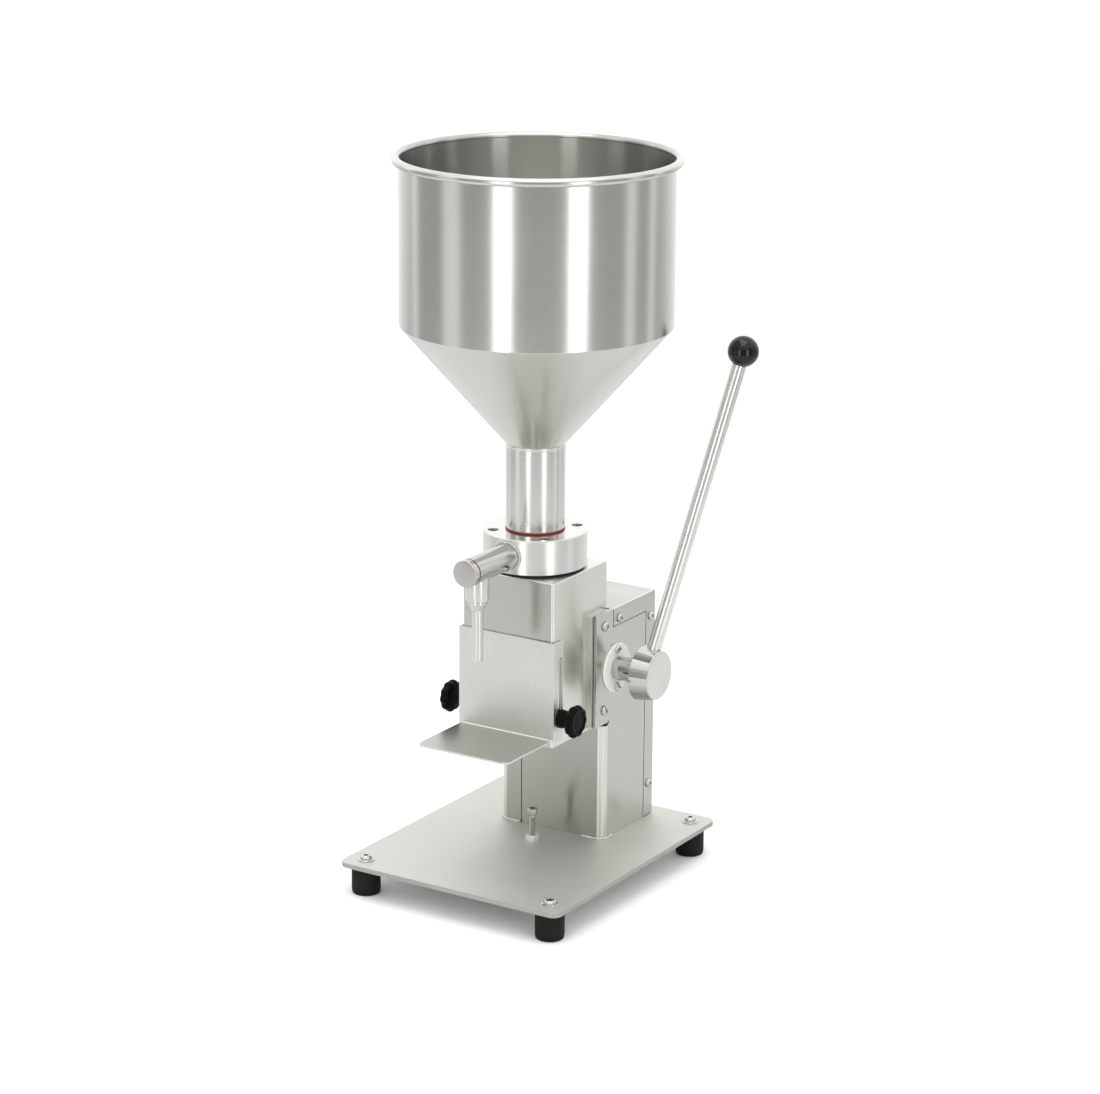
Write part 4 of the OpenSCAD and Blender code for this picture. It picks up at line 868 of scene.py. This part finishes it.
for point in socket.data.vertices:
    if point.co.z > (LEVEL_END_Z - 0.1) * MM:
        point.co.z = PIPE_Z * MM - sqrt(((PIPE_R - SUNK_IN_PIPE) * MM) ** 2 - point.co.x ** 2)
keep(socket, "polished_steel", "nozzle_socket")

# %% [markdown]
# The hub is a cone on a neck. It shows the marks of a chattering tool, so the cone is turned with 56 flat
# facets, each of which mirrors another bit of the room; its end was faced and has a finish of its own.

# %% Hub
HUB_X, CONE_X, HUB_FACE_X, BORE_END_X = 66.0, 95.0, 115.5, 111.0
HUB_NECK_R, HUB_BORE_R = 12.5, 10.05
HUB_FACETS = 56
hub = turn_on_lathe("lever_hub_turned", rounded([
    (0, HUB_FACE_X, 0), (24.9, HUB_FACE_X, 0.6), (25.6, HUB_FACE_X - 0.9, 0.5), (29, CONE_X, 0.5),
    (HUB_NECK_R, CONE_X, 0.8), (HUB_NECK_R, HUB_X, 0.4), (HUB_BORE_R, HUB_X, 0), (HUB_BORE_R, BORE_END_X, 0),
    (0, BORE_END_X, 0)]), hub_steel, (0, SHAFT_Y, SHAFT_Z), (0, 90, 0), closed=False, segments=HUB_FACETS)
hub.data.materials.append(faced_steel)
for face in hub.data.polygons:
    on_cone = 0.1 < face.normal.x < 0.5
    face.use_smooth = not on_cone
    face.material_index = int(face.normal.x > 0.9)
keep(flatten(hub), "polished_steel", "lever_hub", body="lever")

# %% [markdown]
# The lever is a plain rod with a ball that is flattened where it meets the rod. It leans back by 13.6
# degrees and outwards by 10 degrees. Both turns are collected in one matrix, which gives the lathe its
# place and angles.

# %% Rod and ball
LEAN_BACK, LEAN_OUT, ROD_FOOT_X = radians(-13.6), radians(10), 100.456
ROD_R, PIN_R, LEVER_L = 7.5, 4, 346.5
BALL_R, BALL_FLAT = 16.0, 14.08
lean = (Matrix.Translation((0, SHAFT_Y, SHAFT_Z)) @ Matrix.Rotation(LEAN_BACK, 4, "X")
        @ Matrix.Translation((ROD_FOOT_X, 0, 0)) @ Matrix.Rotation(LEAN_OUT, 4, "Y"))
lean_turn = [degrees(a) for a in lean.to_euler()]
# the lever's rod: drawn bar with soft highlights along it
rod_steel = turned_steel(
    "drawn_stainless_rod", "#E4E4E0", "#DEDED9", lean.translation, lean.col[2].xyz, 0.30, 0.6, 4.0)
rod_end = LEVER_L - BALL_FLAT - 0.1
rod = turn_on_lathe("lever_bar", rounded([
    (0, 13.1, 0), (ROD_R, 13.1, 0.5), (ROD_R, rod_end, 0.6), (PIN_R, rod_end, 0), (PIN_R, LEVER_L + 4, 0),
    (0, LEVER_L + 4, 0)]), rod_steel, lean.translation, lean_turn, closed=False)
keep(rod, "polished_steel", "lever_rod", body="lever")

low = degrees(asin(-BALL_FLAT / BALL_R))
ball_section = [on_circle(BALL_R, 90 + (low - 90) * k / 40, 0, LEVER_L) for k in range(41)]
ball_section[0] = (0, LEVER_L + BALL_R)
ball_section += [
    (7.0, LEVER_L - BALL_FLAT), (PIN_R + 0.1, LEVER_L - BALL_FLAT + 0.6), (PIN_R + 0.1, LEVER_L + 4.5),
    (0, LEVER_L + 4.5)]
ball = turn_on_lathe("lever_ball", ball_section, ball_black, lean.translation, lean_turn, closed=False)
keep(ball, "black_gloss", "ball_knob", body="lever")

# %% [markdown]
# ## Rubber feet
#
# Four rubber buffers carry the plate. They are turned once and planted by the tree that planted the screws.

# %% Feet
FOOT_R, FOOT_H, FOOT_BORE_R, FOOT_BORE_Z = 15, 30, 4.2, 14
foot = turn_on_lathe("pattern", rounded([
    (0, 0, 0), (14.2, 0, 1.2), (FOOT_R, 4, 6), (FOOT_R, FOOT_H, 0.5), (FOOT_BORE_R, FOOT_H, 0),
    (FOOT_BORE_R, FOOT_BORE_Z, 0), (0, FOOT_BORE_Z, 0)]), foot_rubber, closed=False, segments=64)
feet = plant("rubber_feet", foot, [((x, y, 0), UP) for x, y in foot_places], foot_rubber)
keep(feet, "rubber", "foot_front_left", "foot_front_right", "foot_rear_left", "foot_rear_right")

# %% [markdown]
# ## Welds
#
# The column's flanges are welded to the plate, and the outlet pipe to the head. A hand-made bead is a row
# of overlapping drops. A tree resamples the seam's path, lets the bead's thickness rise and fall once per
# drop, and sweeps a circle along it. More than half of the bead is sunk in the corner that it fills.

# %% Beads along a path
beads, given = new_tree("weld_bead", Path="Geometry", Thickness="Float", Drop="Float", Finish="Material")
seam_line = add(beads, "GeometryNodeMeshToCurve", {"Mesh": given["Path"]})
step = add(beads, "Math", {0: given["Drop"], 1: 0.125}, operation="MULTIPLY")
fine = add(beads, "GeometryNodeResampleCurve", {"Curve": seam_line, "Length": step}, mode="LENGTH")
run = add(beads, "GeometryNodeSplineParameter")
drops = add(beads, "Math", {0: run.outputs["Length"], 1: given["Drop"]}, operation="DIVIDE")
phase = add(beads, "Math", {0: drops, 1: 2 * pi}, operation="MULTIPLY")
wave = add(beads, "Math", {0: phase}, operation="SINE")
swell = add(beads, "Math", {0: wave, 1: 0.12, 2: 1.0}, operation="MULTIPLY_ADD")
thick = add(beads, "GeometryNodeSetCurveRadius", {"Curve": fine, "Radius": swell})
cross = add(beads, "GeometryNodeCurvePrimitiveCircle", {"Resolution": 12, "Radius": given["Thickness"]})
bead_body = add(beads, "GeometryNodeCurveToMesh", {
    "Curve": thick, "Profile Curve": cross, "Scale": swell, "Fill Caps": True})
close_tree(beads, bead_body, given["Finish"])

# %% [markdown]
# The seam round the pipe is a saddle, a circle of points that lies on the round head. The seams at the
# column's foot follow its flange, its bend and a short stretch of its side.

# %% Weld seams
DROP_MM, WELD_R_MM = 2.4, 1.7
HEAD_R, SADDLE_STEPS = 53.5, 72
BEND_R, FLANGE_X, SIDE_RUN, COLUMN_Y = 9.0, 38.0, 8.0, 35.0
OUT_OF_CORNER = 0.4

saddle = []
for k in range(SADDLE_STEPS):
    angle = 2 * pi * k / SADDLE_STEPS
    x = (PIPE_R + 0.5) * cos(angle)
    saddle.append((x, -sqrt((HEAD_R + 0.5) ** 2 - x * x), PIPE_Z + (PIPE_R + 0.5) * sin(angle)))
paths = [(saddle, True)]
seam_r = BEND_R + OUT_OF_CORNER
corner = [on_circle(seam_r, a, COLUMN_X - BEND_R, COLUMN_Y + BEND_R) for a in range(-90, 1, 10)]
line = [(FLANGE_X, COLUMN_Y - OUT_OF_CORNER)] + corner
line.append((COLUMN_X + OUT_OF_CORNER, COLUMN_Y + BEND_R + SIDE_RUN))
for side in (1, -1):
    paths.append(([(side * x, y, PLATE_Z + OUT_OF_CORNER) for x, y in line], False))
points, edges = [], []
for path, is_round in paths:
    start, count = len(points), len(path)
    points += path
    edges += [(start + i, start + (i + 1) % count) for i in range(count if is_round else count - 1)]
welds = grow(new_piece("weld_ripples", points, edges=edges), beads,
             Thickness=WELD_R_MM * MM, Drop=DROP_MM * MM, Finish=bolt_steel)
keep(welds, "polished_steel", "weld_beads")

# %% [markdown]
# ## Clamp knobs
#
# Each knob is moulded in one piece: a conical neck, and a head with ten rounded lobes for the fingers. The
# head's radius rises and falls with the angle, more in its middle than at its rounded edges, and its face
# has a shallow recess. The rings are stacked as for the screws, with more points to a ring.

# %% Knobs
LOBES, LOBE_DEPTH = 10, 1.7
KNOB_Y, KNOB_Z, KNOB_X = -41.0, 190.0, 57.6
HEAD_LOW, HEAD_HIGH, KNOB_R, EDGE_DROP = 13.0, 22.5, 17.0, 3.4


def lobed(radius, depth):
    """A ring with finger lobes of some depth in mm."""
    return lambda angle: radius - depth * (0.5 - 0.5 * cos(LOBES * angle)) ** 1.4


# the neck, the lobed head and the recess in its face
knob_rings = [(4.1, 0), (9.2, 0), (9.7, 0.6), (9.2, 6), (8.9, 10), (9.2, 12), (10.4, 13)]
for k in range(9):
    turn = pi * (k / 8 - 0.5)
    full = cos(turn)
    z = (HEAD_LOW + HEAD_HIGH) / 2 + (HEAD_HIGH - HEAD_LOW) / 2 * sin(turn)
    knob_rings.append((lobed(KNOB_R - EDGE_DROP * (1 - full), LOBE_DEPTH * (0.55 + 0.45 * full)), z))
knob_rings += [(12.2, 22.5), (11.6, 22.2), (11.2, 21.4), (10.6, 21.2), (6, 21.6), (1, 21.8)]

for side, name in ((1, "knob_right"), (-1, "knob_left")):
    knob = plant(name + "_moulded", stack(knob_rings, knob_black, steps=120),
                 [((side * KNOB_X, KNOB_Y, KNOB_Z), (side, 0, 0))], knob_black)
    keep(knob, "black_plastic", name, body=name.split("_")[1] + "_knob")

# %% [markdown]
# ## Stop screw and nut
#
# A socket screw through the plate limits the stroke; its height is set by turning it and locked with a nut.
# Its thread is a helix: the radius of a ring depends on the angle and the height together. The nut is a
# hexagon whose corners are turned off at 30 degrees, so its edge shows the typical arcs. It stands so that
# one of its flats catches the left strip light.

# %% Stop screw
STOP_Y, STOP_HEAD_Z, STOP_END_Z = -2.0, 63.0, 18.0
PITCH, CORE_R, THREAD_DEPTH, THREAD_STEP = 1.0, 2.45, 0.55, 0.125


def threaded(height):
    """Ring of an M6 thread at a height."""
    def radius(angle):
        groove = abs((height / PITCH - angle / (2 * pi)) % 1 - 0.5) * 2
        return CORE_R + THREAD_DEPTH * min(1, 1.25 * groove)
    return radius


stop_rings = [(1.5, STOP_END_Z), (2.3, STOP_END_Z + 0.01)]
for k in range(int((STOP_HEAD_Z - STOP_END_Z - 3) / THREAD_STEP)):
    z = STOP_END_Z + 0.3 + k * THREAD_STEP
    stop_rings.append((threaded(z), z))
stop_rings += [(2.9, STOP_HEAD_Z - 2.6), (2.9, STOP_HEAD_Z)]
stop_rings += [(r, STOP_HEAD_Z + z) for r, z in CAP_SCREW[3:]]
stop = plant("stop_screw_threaded", stack(stop_rings, stop_steel), [((0, STOP_Y, 0), UP)], stop_steel)
keep(stop, "screw_steel", "stop_screw", body="stop")

# %% Nut
NUT_ACROSS, NUT_H, NUT_TURN = 12.6, 6, radians(21.7)
NUT_FACE_R, NUT_CHAMFER = 6.6, 0.8
nut_rings = [(3.1, 0)]
for k in range(13):
    z = NUT_H * k / 12
    bound = NUT_FACE_R + min(z, NUT_H - z, NUT_CHAMFER) * 1.2
    nut_rings.append((lambda angle, bound=bound: min(hexagon(NUT_ACROSS, angle - NUT_TURN), bound), z))
nut_rings += [(3.6, NUT_H), (3.1, NUT_H - 0.5)]
# painted highlight: the nut's whitish tint
nut = plant("stop_nut_hexagon", stack(nut_rings, nut_highlight_steel), [((0, STOP_Y, PLATE_Z), UP)], nut_highlight_steel)
keep(nut, "screw_steel", "stop_nut")

# %% [markdown]
# ## Valve springs
#
# Two small springs close the pump's valves. Each is a wire along a spiral, wound here at one length; in the
# machine, when its valve opens, the spring is squashed towards its fixed end. A modifier always hands its
# object's mesh to the tree, and this tree makes no use of it.

# %% Springs
SPRING_TURNS, SPRING_R = 6.0, 4.2 * MM
coils, given = new_tree("spring", Unused="Geometry", Turns="Float", Radius="Float", Length="Float",
                        Wire="Float", Place="Vector", Turn="Vector", Finish="Material")
spiral = add(coils, "GeometryNodeCurveSpiral", {
    "Resolution": 28, "Rotations": given["Turns"], "Start Radius": given["Radius"],
    "End Radius": given["Radius"], "Height": given["Length"]})
wire = add(coils, "GeometryNodeCurvePrimitiveCircle", {"Resolution": 10, "Radius": given["Wire"]})
wound = add(coils, "GeometryNodeCurveToMesh", {"Curve": spiral, "Profile Curve": wire, "Fill Caps": True})
laid = add(coils, "GeometryNodeTransform", {
    "Geometry": wound, "Translation": given["Place"], "Rotation": given["Turn"]})
close_tree(coils, laid, given["Finish"])


# %% The two springs
def spring(name, length, wire_r, place, turn):
    """A spring from its length, its wire's radius and its place in mm."""
    return grow(new_piece(name + "_wound", [(0, 0, 0)]), coils, Turns=SPRING_TURNS, Radius=SPRING_R,
                Length=length * MM, Wire=wire_r * MM, Place=[c * MM for c in place], Turn=turn,
                Finish=dark_steel)


inlet_spring = spring("inlet_spring", 14.4, 0.5, (0, 0, 370.8), (0, 0, 0))
keep(inlet_spring, "dark_steel", "inlet_spring")
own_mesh(inlet_spring)
outlet_spring = spring("outlet_spring", 41.0, 0.6, (0, -116.2, PIPE_Z), (-pi / 2, 0, 0))
keep(outlet_spring, "dark_steel", "outlet_spring")
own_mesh(outlet_spring)

# %% [markdown]
# ## The remaining solids
#
# What the CAD already has in its final shape, mostly the pump inside the housing, keeps its mesh and gets a
# finish.

# %% Finishes of the carried-over solids
finish_of = {
    head_steel: ("pump_cylinder", "valve_spider", "inlet_valve"),
    pipe_steel: ("outlet_pipe", "outlet_ball"),
    hub_steel: ("lever_shaft",),
    bolt_steel: ("stud_left", "stud_right", "inlet_nut"),
    dark_steel: ("cover_cleats", "drive_gear", "gear_key", "shaft_ring", "rack_rod"),
    foot_rubber: ("head_gasket", "piston_seals"),
    bushing_white: ("rack_guide", "piston"),
}
for finish, names in finish_of.items():
    for name in names:
        slots = nodes[name].data.materials
        slots.clear()
        slots.append(finish)
print("finishes given to", sum(len(names) for names in finish_of.values()), "solids")
